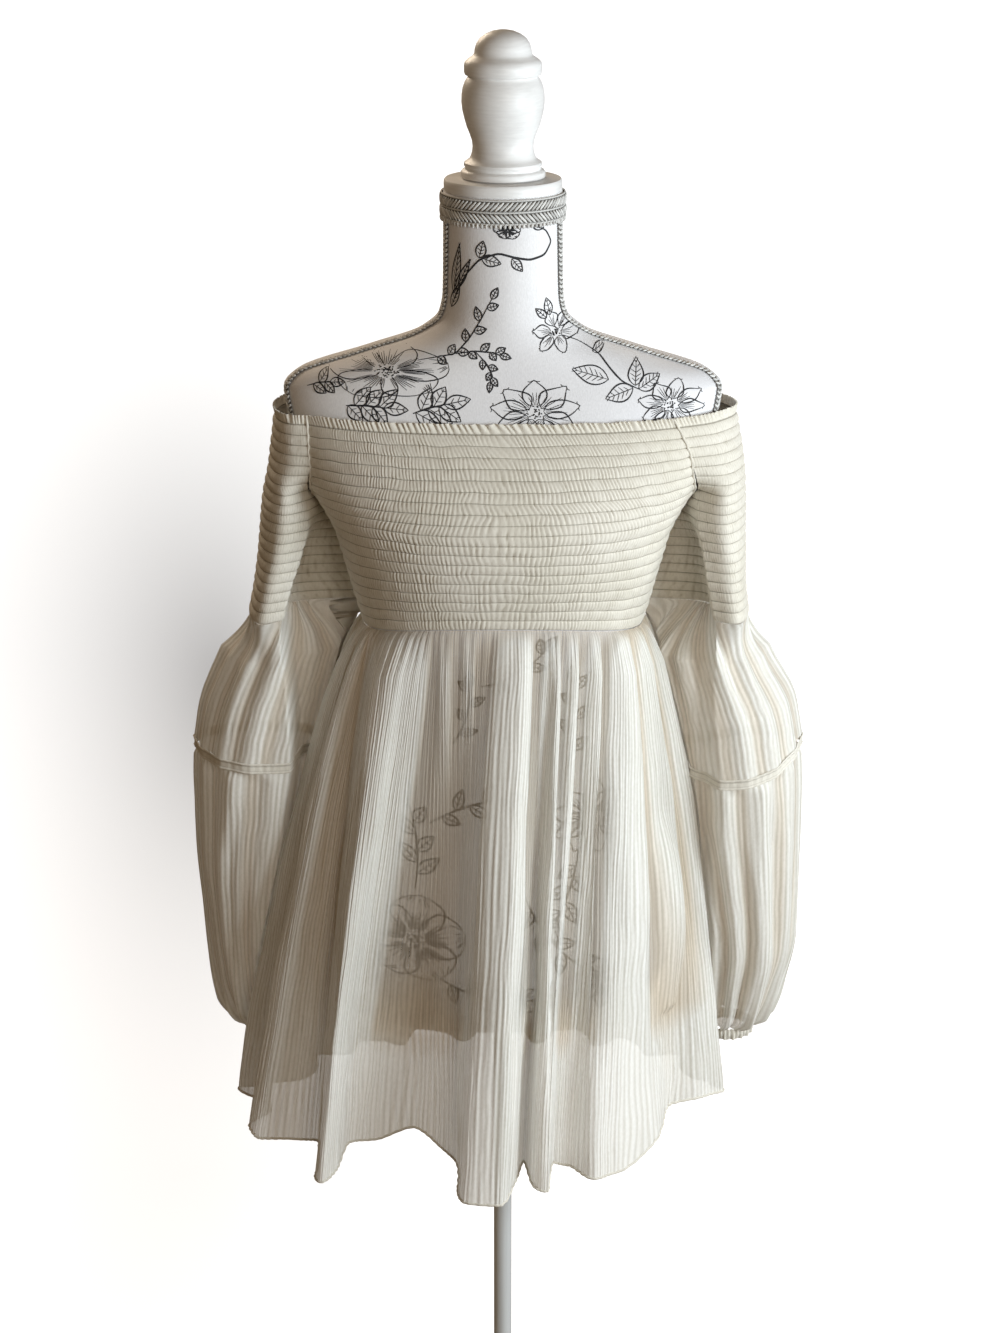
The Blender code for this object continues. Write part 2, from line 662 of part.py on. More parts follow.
def torso():
    """The covered torso: level rings up to the neck, closed below and above."""
    columns = 28
    levels = smock_levels(BODICE_BANDS)
    inner_heights = [levels[stop][0] for stop in inner_stops(levels)[1:]]
    below = [0.513, 0.55, 0.60, 0.65, 0.70, 0.75, 0.80, 0.86]
    heights = sorted(below + inner_heights + SHOULDER_HEIGHTS + [1.2887])
    rings = [
        [torso_point(z, 2 * math.pi * j / columns) for j in range(columns)]
        for z in heights
    ]
    revolve_rings("form_torso", rings, "cover_cloth")


def revolve_rings(name, rings, material_name):
    """A solid through level rings from the bottom up, its ends closed with flat faces."""
    points = [point for ring in rings for point in ring]
    count = len(rings[0])
    faces = []
    for i in range(len(rings) - 1):
        for j in range(count):
            k = (j + 1) % count
            low = i * count
            high = low + count
            faces.append((low + j, low + k, high + k, high + j))
    faces.append(tuple(range(count))[::-1])
    last = (len(rings) - 1) * count
    faces.append(tuple(last + j for j in range(count)))
    return add_object(name, points, faces, material_name)


def turned_solid(name, profile, sides, material_name, centre=(0.0, 0.0)):
    """A solid of revolution through radius and height pairs, its two ends flat."""
    rings = []
    for radius, z in profile:
        ring = []
        for j in range(sides):
            angle = 2 * math.pi * j / sides
            ring.append((centre[0] + radius * math.cos(angle), centre[1] + radius * math.sin(angle), z))
        rings.append(ring)
    return revolve_rings(name, rings, material_name)


def neck_trim():
    """Braid round the neck just below the cap, a ring standing clear of the cover."""
    inside = 0.0549
    outside = 0.0567
    rings = []
    for radius, z in ((inside, 1.2665), (outside, 1.2680), (outside, 1.2865), (inside, 1.2880)):
        rings.append([
            (radius * math.cos(2 * math.pi * j / 32), radius * math.sin(2 * math.pi * j / 32), z)
            for j in range(32)
        ])
    points = [point for ring in rings for point in ring]
    faces = []
    for i in range(4):
        for j in range(32):
            k = (j + 1) % 32
            low = i * 32
            high = ((i + 1) % 4) * 32
            faces.append((low + j, low + k, high + k, high + j))
    return add_object("neck_braid", points, faces, "braid")


def seam_trim(name, side):
    """Braid down the neck, along the shoulder and over its end, on the side line of the torso."""
    heights = [1.2655] + SHOULDER_HEIGHTS[::-1] + [FIRST_STITCH_Z, 1.0760]
    path = np.array([(at_height(FORM, z)[0], z) for z in heights])
    along = np.gradient(path, axis=0)
    normal = np.stack([-along[:, 1], along[:, 0]], axis=1)
    normal /= np.linalg.norm(normal, axis=1, keepdims=True)
    near = path + normal * 0.0005
    far = path + normal * 0.0020
    sections = []
    for (x0, z0), (x1, z1) in zip(near, far):
        sections.append([
            (side * x0, -0.0028, z0),
            (side * x1, -0.0022, z1),
            (side * x1, 0.0022, z1),
            (side * x0, 0.0028, z0),
        ])
    points = [point for section in sections for point in section]
    faces = []
    for i in range(len(sections) - 1):
        for j in range(4):
            k = (j + 1) % 4
            faces.append((4 * i + j, 4 * i + k, 4 * i + 4 + k, 4 * i + 4 + j))
    faces.append((3, 2, 1, 0))
    faces.append(tuple(4 * (len(sections) - 1) + j for j in range(4)))
    return add_object(name, points, faces, "braid")


def stand():
    """Round base with a short hub, and the pole standing on it."""
    turned_solid("base", [
        (BASE_RADIUS, 0.0),
        (BASE_RADIUS, BASE_THICKNESS - 0.004),
        (BASE_RADIUS - 0.004, BASE_THICKNESS),
        (HUB_RADIUS, BASE_THICKNESS + 0.002),
        (HUB_RADIUS, HUB_TOP_Z - 0.002),
        (HUB_RADIUS - 0.002, HUB_TOP_Z),
    ], 32, "base_paint")
    turned_solid("pole", [
        (POLE_RADIUS, HUB_TOP_Z + SEAM_GAP),
        (POLE_RADIUS, FORM_BOTTOM_Z - SEAM_GAP),
    ], 28, "pole_steel")


def main():
    clear_scene()
    bodice_panel("bodice_front", 16, 180.0, 360.0, (1, 2))
    bodice_panel("bodice_back", 12, 0.0, 180.0, (3, 3))
    upper_sleeve("sleeve_upper_left", -1)
    upper_sleeve("sleeve_upper_right", 1)
    lower_sleeve(-1, TIER_LEFT, BALLOON_LEFT)
    lower_sleeve(1, TIER_RIGHT, BALLOON_RIGHT)
    skirt_panel("skirt_front", SKIRT_FRONT, 54)
    skirt_panel("skirt_back", SKIRT_BACK, 42)
    torso()
    neck_trim()
    seam_trim("seam_braid_left", -1)
    seam_trim("seam_braid_right", 1)
    turned_solid("neck_cap", [
        (CAP_RADIUS - 0.001, CAP_BOTTOM_Z),
        (CAP_RADIUS, CAP_BOTTOM_Z + 0.001),
        (CAP_RADIUS, CAP_TOP_Z - 0.0015),
        (CAP_RADIUS - 0.0015, CAP_TOP_Z),
    ], 32, "white_paint")
    turned_solid("finial", FINIAL, 20, "white_paint")
    stand()


main()
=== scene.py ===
# Off-shoulder top with a smocked bodice, tiered balloon sleeves and a sheer skirt,
# standing on a covered dress form. Metres, +Z up, front towards -Y.
import math

import bmesh
import bpy
import numpy as np
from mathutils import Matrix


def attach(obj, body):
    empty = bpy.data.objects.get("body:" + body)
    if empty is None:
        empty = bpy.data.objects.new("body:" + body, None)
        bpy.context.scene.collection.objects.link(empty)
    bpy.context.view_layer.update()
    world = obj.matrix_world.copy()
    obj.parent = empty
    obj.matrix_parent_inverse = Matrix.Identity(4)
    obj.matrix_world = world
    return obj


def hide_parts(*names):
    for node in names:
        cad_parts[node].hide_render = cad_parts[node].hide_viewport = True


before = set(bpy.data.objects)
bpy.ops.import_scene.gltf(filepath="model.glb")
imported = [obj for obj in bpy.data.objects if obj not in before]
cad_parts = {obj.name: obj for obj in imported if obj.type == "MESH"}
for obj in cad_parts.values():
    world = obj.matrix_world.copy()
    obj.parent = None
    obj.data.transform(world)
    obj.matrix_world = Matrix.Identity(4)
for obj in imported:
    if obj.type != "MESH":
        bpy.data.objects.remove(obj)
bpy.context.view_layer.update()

# Torso cover: a padded form covered in pale printed cotton, cut close with no seams
# showing at the front. Its surface is one smooth skin from the foot edge to the neck.

# Height, half width, front depth, back depth, squareness
TORSO_SECTIONS = np.array([
    (0.513, 0.160, 0.104, 0.115, 2.2),
    (0.580, 0.163, 0.103, 0.125, 2.2),
    (0.640, 0.158, 0.100, 0.122, 2.2),
    (0.720, 0.140, 0.092, 0.105, 2.2),
    (0.800, 0.116, 0.082, 0.085, 2.2),
    (0.860, 0.119, 0.088, 0.087, 2.2),
    (0.910, 0.131, 0.098, 0.092, 2.3),
    (0.955, 0.143, 0.112, 0.097, 2.35),
    (0.980, 0.150, 0.118, 0.099, 2.35),
    (1.000, 0.160, 0.120, 0.100, 2.35),
    (1.030, 0.178, 0.112, 0.099, 2.3),
    (1.060, 0.190, 0.098, 0.096, 2.3),
    (1.090, 0.197, 0.082, 0.092, 2.3),
    (1.112, 0.1995, 0.074, 0.086, 2.3),
    (1.125, 0.188, 0.070, 0.082, 2.2),
    (1.1435, 0.132, 0.066, 0.076, 2.1),
    (1.162, 0.078, 0.062, 0.068, 2.0),
    (1.180, 0.058, 0.058, 0.062, 2.0),
    (1.200, 0.0545, 0.055, 0.058, 2.0),
    (1.2887, 0.0535, 0.0535, 0.0535, 2.0),
])
FORM_FOOT_Z = 0.513
FORM_TOP_Z = 1.2887


def smooth(xs, ys, at):
    """A curve through the points with no overshoot, xs rising."""
    xs = np.asarray(xs, float)
    ys = np.asarray(ys, float)
    step = np.diff(xs)
    slope = np.diff(ys) / step
    product = slope[1:] * slope[:-1]
    total = np.where(product > 0, slope[1:] + slope[:-1], 1.0)
    tangent = np.concatenate([slope[:1], np.where(product > 0, 2 * product / total, 0.0), slope[-1:]])
    at = np.clip(at, xs[0], xs[-1])
    i = np.clip(np.searchsorted(xs, at, side="right") - 1, 0, len(xs) - 2)
    t = (at - xs[i]) / step[i]
    start = ys[i] * (1 + 2 * t) * (1 - t) ** 2 + tangent[i] * step[i] * t * (1 - t) ** 2
    end = ys[i + 1] * t * t * (3 - 2 * t) + tangent[i + 1] * step[i] * t * t * (t - 1)
    return start + end


def torso_surface(z, angle, out=0.0):
    """Points on the torso at heights and angles, moved out by a distance."""
    half, front, back, square = (smooth(TORSO_SECTIONS[:, 0], TORSO_SECTIONS[:, k], z) for k in (1, 2, 3, 4))
    c = np.cos(angle)
    s = np.sin(angle)
    depth = np.where(s > 0, back, front)
    x = (half + out) * np.sign(c) * np.abs(c) ** (2 / square)
    y = (depth + out) * np.sign(s) * np.abs(s) ** (2 / square)
    return np.stack(np.broadcast_arrays(x, y, z), axis=-1)


def wrapped_grid(name, columns, rows, place, ring=False):
    """A flat grid added and wrapped by a function of its across and up shares, facing outwards."""
    bpy.ops.object.select_all(action="DESELECT")
    bpy.ops.mesh.primitive_grid_add(x_subdivisions=columns, y_subdivisions=rows, size=1.0)
    piece = bpy.context.active_object
    piece.name = name
    piece.data.name = name
    flat = np.empty(len(piece.data.vertices) * 3)
    piece.data.vertices.foreach_get("co", flat)
    flat = flat.reshape(-1, 3)
    placed = place(flat[:, 0] + 0.5, flat[:, 1] + 0.5)
    points, shades = placed if isinstance(placed, tuple) else (placed, {})
    for label, values in shades.items():
        layer = piece.data.attributes.new(label, "FLOAT", "POINT")
        layer.data.foreach_set("value", np.asarray(values, np.float32))
    piece.data.vertices.foreach_set("co", np.asarray(points, np.float32).reshape(-1))
    piece.data.update()
    if ring:
        merged = bmesh.new()
        merged.from_mesh(piece.data)
        bmesh.ops.remove_doubles(merged, verts=merged.verts, dist=1e-6)
        merged.to_mesh(piece.data)
        merged.free()
    centres = np.empty(len(piece.data.polygons) * 3)
    normals = np.empty(len(piece.data.polygons) * 3)
    piece.data.polygons.foreach_get("center", centres)
    piece.data.polygons.foreach_get("normal", normals)
    centres = centres.reshape(-1, 3)
    away = centres - np.median(centres, axis=0) * (1.0, 0.0, 1.0) * (1.0 if ring else 0.0)
    if np.sum(away[:, :2] * normals.reshape(-1, 3)[:, :2]) < 0:
        piece.data.flip_normals()
    piece.data.polygons.foreach_set("use_smooth", np.ones(len(piece.data.polygons), bool))
    piece.data.update()
    return piece


def new_finish(name):
    """An empty node material: its tree, its main shader and its object coordinates."""
    finish = bpy.data.materials.new(name)
    finish.use_nodes = True
    tree = finish.node_tree
    coords = tree.nodes.new("ShaderNodeTexCoord").outputs["Object"]
    return finish, tree, tree.nodes["Principled BSDF"], coords


def speckle(tree, coords, scale, detail=3.0, stretch=None):
    """Noise of a scale, its grain stretched if asked."""
    if stretch:
        turn = tree.nodes.new("ShaderNodeMapping")
        turn.inputs["Scale"].default_value = stretch
        tree.links.new(coords, turn.inputs["Vector"])
        coords = turn.outputs["Vector"]
    noise = tree.nodes.new("ShaderNodeTexNoise")
    noise.inputs["Scale"].default_value = scale
    noise.inputs["Detail"].default_value = detail
    tree.links.new(coords, noise.inputs["Vector"])
    return noise.outputs["Fac"]


def blend_of(tree, factor, low, high, start=0.0, stop=1.0):
    """A colour that runs from low to high as a factor runs from start to stop."""
    ramp = tree.nodes.new("ShaderNodeValToRGB")
    ramp.color_ramp.elements[0].position = start
    ramp.color_ramp.elements[1].position = stop
    ramp.color_ramp.elements[0].color = (*low, 1.0)
    ramp.color_ramp.elements[1].color = (*high, 1.0)
    tree.links.new(factor, ramp.inputs["Fac"])
    return ramp.outputs["Color"]


def multiplied(tree, first, second):
    """Two colours multiplied."""
    mix = tree.nodes.new("ShaderNodeMix")
    mix.data_type = "RGBA"
    mix.blend_type = "MULTIPLY"
    mix.inputs[0].default_value = 1.0
    tree.links.new(first, mix.inputs[6])
    tree.links.new(second, mix.inputs[7])
    return mix.outputs[2]


def relief(tree, shader, height, strength, distance):
    """Bump from a height on a shader."""
    bump = tree.nodes.new("ShaderNodeBump")
    bump.inputs["Strength"].default_value = strength
    bump.inputs["Distance"].default_value = distance
    tree.links.new(height, bump.inputs["Height"])
    tree.links.new(bump.outputs["Normal"], shader.inputs["Normal"])


def torso_skin(u, v):
    z = FORM_FOOT_Z + (FORM_TOP_Z - FORM_FOOT_Z) * v
    return torso_surface(z, 2 * np.pi * u)


cover_finish, tree, shader, coords = new_finish("printed_cover_cotton")
grain = speckle(tree, coords, 900.0, 2.0, (1.0, 1.0, 0.35))
broad = speckle(tree, coords, 7.0, 4.0)
tint = blend_of(tree, broad, (0.78, 0.775, 0.795), (0.87, 0.865, 0.87), 0.35, 0.7)
thread = blend_of(tree, grain, (0.90, 0.90, 0.90), (1.0, 1.0, 1.0), 0.3, 0.7)
tree.links.new(multiplied(tree, tint, thread), shader.inputs["Base Color"])
rough = blend_of(tree, grain, (0.72, 0.72, 0.72), (0.9, 0.9, 0.9))
tree.links.new(rough, shader.inputs["Roughness"])
shader.inputs["Sheen Weight"].default_value = 0.10
relief(tree, shader, grain, 0.35, 0.0003)

torso_cover = wrapped_grid("torso_cover", 160, 240, torso_skin, ring=True)
lids = bmesh.new()
lids.from_mesh(torso_cover.data)
bmesh.ops.holes_fill(lids, edges=[edge for edge in lids.edges if edge.is_boundary], sides=0)
bmesh.ops.recalc_face_normals(lids, faces=lids.faces)
lids.to_mesh(torso_cover.data)
lids.free()
torso_cover.data.materials.append(cover_finish)
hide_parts("form_torso")
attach(torso_cover, "root")

# Printed flowers: dark pen-line blooms, sprigs and leaves on the cover. Every stroke is
# a flat inked ribbon that lies on the cloth, thick in the middle and thin at its ends.
ink_strokes = []
pen = np.random.default_rng(11)


def stroke(points, width=0.0008):
    ink_strokes.append((np.asarray(points, float), width * 1.45))


def bent_line(start, angle, length, bend, steps=9):
    """Points of a line that leaves a place at an angle and bends by an angle."""
    headings = angle + bend * np.linspace(0.0, 1.0, steps)
    moves = np.stack([np.cos(headings), np.sin(headings)], axis=1) * length / steps
    return np.concatenate([[start], np.asarray(start) + np.cumsum(moves, axis=0)])


def petal(base, angle, length, width, lines, notch=0.12):
    """A rounded petal with a notched tip and fine lines from its foot."""
    share = np.linspace(0.0, 1.0, 12)
    forward = np.array([math.cos(angle), math.sin(angle)])
    side = np.array([-forward[1], forward[0]])
    swell = np.sin(np.pi * share ** 0.75) * 0.5 * width + 0.0006 * np.sin(9 * share + angle * 5)
    for turn in (-1, 1):
        edge = base + np.outer(share * length, forward) + np.outer(turn * swell, side)
        stroke(edge[:-1], 0.0009)
    tip = np.linspace(-0.3, 0.3, 7)
    rim = base + np.outer(length * (0.98 - notch * (np.abs(np.sin(8 * tip)) * 0.5)), forward)
    stroke(rim + np.outer(tip * width * 0.8, side), 0.0007)
    for k in range(lines):
        lean = (k - (lines - 1) / 2) * width * 0.16
        reach = length * pen.uniform(0.35, 0.75)
        stroke(base + np.outer(np.linspace(0.1, 1.0, 5) * reach, forward)
               + np.outer(np.linspace(0.3, 1.0, 5) * lean, side), 0.0004)


def bloom(x, z, radius, petals, turn=0.0, squash=0.85, heart=0.22):
    """An open flower: petals round a stippled heart."""
    first = len(ink_strokes)
    for k in range(petals):
        angle = turn + 2 * math.pi * k / petals + pen.uniform(-0.08, 0.08)
        foot = np.array([math.cos(angle), math.sin(angle)]) * radius * heart
        petal(foot, angle, radius * pen.uniform(0.72, 0.84), radius * 0.52, 4)
    for k in range(26):
        angle = pen.uniform(0, 2 * math.pi)
        reach = radius * heart * pen.uniform(0.1, 1.0)
        centre = np.array([math.cos(angle), math.sin(angle)]) * reach
        stroke(bent_line(centre, pen.uniform(0, 6.28), 0.0016, 3.0, 4), 0.0009)
    place_motif(first, x, z, squash)


def full_bloom(x, z, radius, petals, turn=0.0, squash=0.6):
    """A large open flower: a few broad petals hatched from a stippled heart."""
    first = len(ink_strokes)
    for k in range(petals):
        angle = turn + 2 * math.pi * k / petals + pen.uniform(-0.1, 0.1)
        length = radius * pen.uniform(0.82, 1.0)
        forward = np.array([math.cos(angle), math.sin(angle)])
        side = np.array([-forward[1], forward[0]])
        share = np.linspace(0.10, 1.0, 16)
        swell = np.sin(np.pi * share ** 1.25) ** 0.6 * radius * 0.46
        for way in (-1, 1):
            curve = np.outer(share * length, forward) + np.outer(way * swell, side)
            stroke(curve + np.outer(0.0007 * np.sin(13 * share + k), side), 0.0008)
        for hatch in range(13):
            lean = (hatch - 6) / 6.0
            start = 0.20 + 0.05 * pen.uniform(0, 1)
            stop = pen.uniform(0.42, 0.72)
            run = np.linspace(start, stop, 6)
            stroke(np.outer(run * length, forward) + np.outer(lean * run * radius * 0.46, side), 0.00045)
        for hatch in range(6):
            lean = pen.uniform(-0.7, 0.7)
            run = np.linspace(0.94, pen.uniform(0.74, 0.84), 4)
            stroke(np.outer(run * length, forward) + np.outer(lean * (1.15 - run) * radius, side), 0.00045)
    for k in range(60):
        angle = pen.uniform(0, 2 * math.pi)
        centre = np.array([math.cos(angle), math.sin(angle)]) * radius * 0.17 * pen.uniform(0.1, 1)
        stroke(bent_line(centre, angle, 0.0020, 2.0, 4), 0.0009)
    place_motif(first, x, z, squash)


def leaf(base, angle, length, width, veins=5):
    """A pointed leaf with a midrib, side veins and a hatched half."""
    share = np.linspace(0.0, 1.0, 11)
    forward = np.array([math.cos(angle), math.sin(angle)])
    side = np.array([-forward[1], forward[0]])
    swell = np.sin(np.pi * share ** 0.8) * 0.5 * width
    for turn in (-1, 1):
        stroke(base + np.outer(share * length, forward) + np.outer(turn * swell, side), 0.0010)
    stroke(base + np.outer(share[:-1] * length, forward), 0.0006)
    for k in range(1, veins + 1):
        along = k / (veins + 1)
        for turn in (-1, 1):
            root = base + forward * length * along
            leaf_reach = turn * width * 0.36 * math.sin(math.pi * along ** 0.8)
            tip = root + forward * length * 0.14 + side * leaf_reach
            stroke(np.linspace(root, tip, 4), 0.0005)


def sprig(x, z, angle, length, leaves, size, bend=0.5, buds=0):
    """A curved stem with leaves on both sides and sometimes buds at its tip."""
    first = len(ink_strokes)
    stem = bent_line((0.0, 0.0), angle, length, bend, 16)
    stroke(stem, 0.0011)
    for k in range(leaves):
        at = int(3 + k * 12 / max(1, leaves - 1))
        heading = angle + bend * at / 16
        turn = 0.85 if k % 2 else -0.85
        leaf(stem[min(at, 15)], heading + turn, size * pen.uniform(0.8, 1.15), size * 0.48, 3)
    leaf(stem[-1], angle + bend, size, size * 0.5, 3)
    for k in range(buds):
        around = bent_line(stem[-1 - k * 3], pen.uniform(0, 6), 0.009, 6.0, 10)
        stroke(around, 0.0011)
    place_motif(first, x, z, 1.0)


def place_motif(first, x, z, squash):
    for k in range(first, len(ink_strokes)):
        points, width = ink_strokes[k]
        ink_strokes[k] = (points * (1.0, squash) + (x, z), width)


def vine(points, leaves, size, thick=0.0010, first_share=0.15):
    """A stem along a smooth curve through places on the cover, with leaves on alternate sides."""
    points = np.asarray(points, float)
    share = np.linspace(0.0, 1.0, len(points))
    fine = np.linspace(0.0, 1.0, 8 * len(points))
    curve = np.stack([np.interp(fine, share, points[:, k]) for k in (0, 1)], axis=1)
    for _ in range(5):
        curve[1:-1] = (curve[:-2] + 2 * curve[1:-1] + curve[2:]) / 4
    stroke(curve, thick)
    for k in range(leaves):
        at = int((first_share + (1 - first_share) * (k + 0.5) / leaves) * (len(curve) - 2))
        run = curve[at + 1] - curve[at]
        heading = math.atan2(run[1], run[0]) + (0.8 if k % 2 else -0.8)
        leaf(curve[at], heading, size * pen.uniform(0.8, 1.15), size * 0.55, 3)
    if leaves:
        run = curve[-1] - curve[-3]
        leaf(curve[-1], math.atan2(run[1], run[0]), size, size * 0.5, 3)


# Front of the neck: a curling stem with a small flower under the braid
vine([(-0.0436, 1.197), (-0.034, 1.220), (-0.021, 1.236), (-0.004, 1.242), (0.010, 1.238), (0.024, 1.235),
      (0.037, 1.238), (0.043, 1.249), (0.038, 1.260), (0.030, 1.264)], 0, 0.0, 0.0014)
leaf(np.array([-0.021, 1.237]), 1.35, 0.016, 0.009, 4)
leaf(np.array([-0.019, 1.237]), -0.25, 0.018, 0.010, 4)
leaf(np.array([0.008, 1.237]), -0.9, 0.015, 0.008, 4)
leaf(np.array([0.036, 1.262]), 2.6, 0.014, 0.008, 3)
leaf(np.array([-0.044, 1.202]), 1.45, 0.046, 0.007, 8)
leaf(np.array([-0.042, 1.206]), 1.15, 0.032, 0.006, 6)
leaf(np.array([-0.046, 1.190]), 1.25, 0.024, 0.006, 5)
full_bloom(0.004, 1.262, 0.013, 5, 0.4, 0.7)

# Front of the chest and shoulders
vine([(-0.076, 1.146), (-0.057, 1.150), (-0.042, 1.153), (-0.030, 1.166), (-0.020, 1.182), (-0.010, 1.201)],
     7, 0.012)
vine([(-0.042, 1.153), (-0.025, 1.156), (-0.010, 1.155), (-0.003, 1.153)], 4, 0.011)
vine([(-0.024, 1.155), (-0.015, 1.146), (-0.010, 1.137), (-0.011, 1.130)], 4, 0.010)
full_bloom(-0.104, 1.136, 0.062, 5, 0.35, 0.42)
vine([(-0.080, 1.102), (-0.066, 1.107), (-0.052, 1.110)], 5, 0.024, 0.0012, 0.0)
vine([(-0.140, 1.106), (-0.122, 1.107), (-0.106, 1.106)], 6, 0.022, 0.0012, 0.0)
vine([(-0.176, 1.119), (-0.165, 1.123), (-0.155, 1.124)], 3, 0.014)
bloom(0.047, 1.170, 0.021, 6, 0.9, 0.95)
leaf(np.array([0.042, 1.184]), 1.8, 0.016, 0.007, 3)
leaf(np.array([0.039, 1.182]), 2.4, 0.014, 0.006, 3)
vine([(0.054, 1.166), (0.068, 1.160), (0.086, 1.150), (0.096, 1.138), (0.106, 1.128), (0.121, 1.121)],
     0, 0.0, 0.0013)
leaf(np.array([0.080, 1.152]), 0.3, 0.012, 0.006, 3)
leaf(np.array([0.094, 1.130]), 2.85, 0.034, 0.015, 6)
leaf(np.array([0.116, 1.122]), 3.45, 0.026, 0.015, 5)
leaf(np.array([0.118, 1.124]), 1.5, 0.020, 0.014, 5)
leaf(np.array([0.121, 1.121]), 0.5, 0.022, 0.013, 5)
bloom(0.029, 1.103, 0.044, 9, 0.2, 0.72, 0.17)
bloom(0.150, 1.106, 0.032, 8, 0.5, 0.7)
body_first = len(ink_strokes)

# Front of the body, seen softly through the skirt
sprig(-0.068, 0.716, 0.6, 0.075, 5, 0.020, -0.5, buds=2)
full_bloom(-0.082, 0.602, 0.056, 5, 0.2, 0.85)
sprig(-0.082, 0.652, 1.4, 0.085, 6, 0.024, 0.5)
sprig(-0.058, 0.566, -0.6, 0.060, 4, 0.020, 0.6)
bloom(0.082, 0.720, 0.040, 9, 0.1)
sprig(0.070, 0.690, -1.7, 0.080, 6, 0.024, -0.4)
sprig(0.060, 0.770, 1.3, 0.080, 5, 0.020, 0.4)
bloom(0.100, 0.560, 0.036, 8, 0.5)
sprig(-0.046, 0.792, 1.0, 0.060, 4, 0.016, 0.6)
sprig(0.020, 0.650, -1.2, 0.090, 6, 0.022, 0.5)
bloom(0.012, 0.545, 0.026, 6, 0.5)
sprig(-0.020, 0.850, 0.2, 0.070, 4, 0.018, 0.7)
ink_front = len(ink_strokes)
for k in range(body_first, ink_front):
    ink_strokes[k] = (ink_strokes[k][0], ink_strokes[k][1] * 1.25)

# Back of the shoulders and body
for x, z, radius in ((-0.10, 1.115, 0.036), (0.07, 1.130, 0.030), (0.10, 0.62, 0.048), (-0.06, 0.70, 0.042)):
    bloom(x, z, radius, 8, x * 9, 0.8)
for x, z, angle in ((-0.03, 1.18, 1.2), (0.02, 1.12, -0.5), (0.14, 1.09, 0.6), (-0.10, 0.58, 1.0),
                    (0.02, 0.58, 1.6), (0.05, 0.76, 2.2), (-0.08, 0.82, 0.7)):
    sprig(x, z, angle, 0.065, 5, 0.020, 0.5)


def on_cover(points, facing, out):
    """Points of the front or back of the cover that lie at a place across and a height."""
    x, z = points[:, 0], points[:, 1]
    half, square = (smooth(TORSO_SECTIONS[:, 0], TORSO_SECTIONS[:, k], z) for k in (1, 4))
    share = np.clip(np.abs(x) / (half + out), 0.0, 0.992)
    angle = np.arccos(share ** (square / 2))
    angle = np.where(x < 0, np.pi - angle, angle) * facing
    return torso_surface(z, angle, out)


ribbon_points = []
ribbon_faces = []
for number, (points, width) in enumerate(ink_strokes):
    facing = -1 if number < ink_front else 1
    inside = smooth(TORSO_SECTIONS[:, 0], TORSO_SECTIONS[:, 1], points[:, 1]) * 0.985 > np.abs(points[:, 0])
    points = points[inside & (points[:, 1] > FORM_FOOT_Z + 0.002)]
    if len(points) < 3:
        continue
    line = on_cover(points, facing, 0.00025)
    beside = on_cover(points + (0.0005, 0.0), facing, 0.00025)
    above = on_cover(points + (0.0, 0.0005), facing, 0.00025)
    lift = np.cross(beside - line, above - line)
    lift /= np.linalg.norm(lift, axis=1, keepdims=True) + 1e-12
    run = np.gradient(line, axis=0)
    run /= np.linalg.norm(run, axis=1, keepdims=True) + 1e-12
    band_taper = width * (0.35 + 0.65 * np.sin(np.linspace(0.25, 2.9, len(line))))
    across = np.cross(lift, run) * (band_taper / 2)[:, None]
    start = len(ribbon_points)
    for left, right in zip(line - across, line + across):
        ribbon_points += [tuple(left), tuple(right)]
    for k in range(len(line) - 1):
        a = start + 2 * k
        quad = (a, a + 1, a + 3, a + 2)
        ribbon_faces.append(quad if facing > 0 else quad[::-1])
ink_mesh = bpy.data.meshes.new("cover_print")
ink_mesh.from_pydata(ribbon_points, [], ribbon_faces)
cover_print = bpy.data.objects.new("cover_print", ink_mesh)
bpy.context.scene.collection.objects.link(cover_print)
outward = bmesh.new()
outward.from_mesh(ink_mesh)
for face in outward.faces:
    if face.normal.y * face.calc_center_median().y < 0:
        face.normal_flip()
outward.to_mesh(ink_mesh)
outward.free()
ink_finish, tree, shader, coords = new_finish("printed_ink")
fade = speckle(tree, coords, 260.0, 2.0)
ink_shade = blend_of(tree, fade, (0.006, 0.006, 0.008), (0.035, 0.035, 0.04), 0.35, 0.75)
tree.links.new(ink_shade, shader.inputs["Base Color"])
tree.links.new(blend_of(tree, fade, (0.7, 0.7, 0.7), (0.9, 0.9, 0.9)), shader.inputs["Roughness"])
ink_mesh.materials.append(ink_finish)
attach(cover_print, "root")

# Braids: grey and ivory gimp of slanting stitches in two rows, glued round the neck and
# in a narrower run down the neck, along the shoulders and over their ends, over dark strips that are painted
# shadow between the stitches.
STITCH_WIDE = 0.0027
STITCH_HIGH = 0.0021
STITCH_PITCH = 0.0041
SHADOW_STRIP_HALF = 0.0041


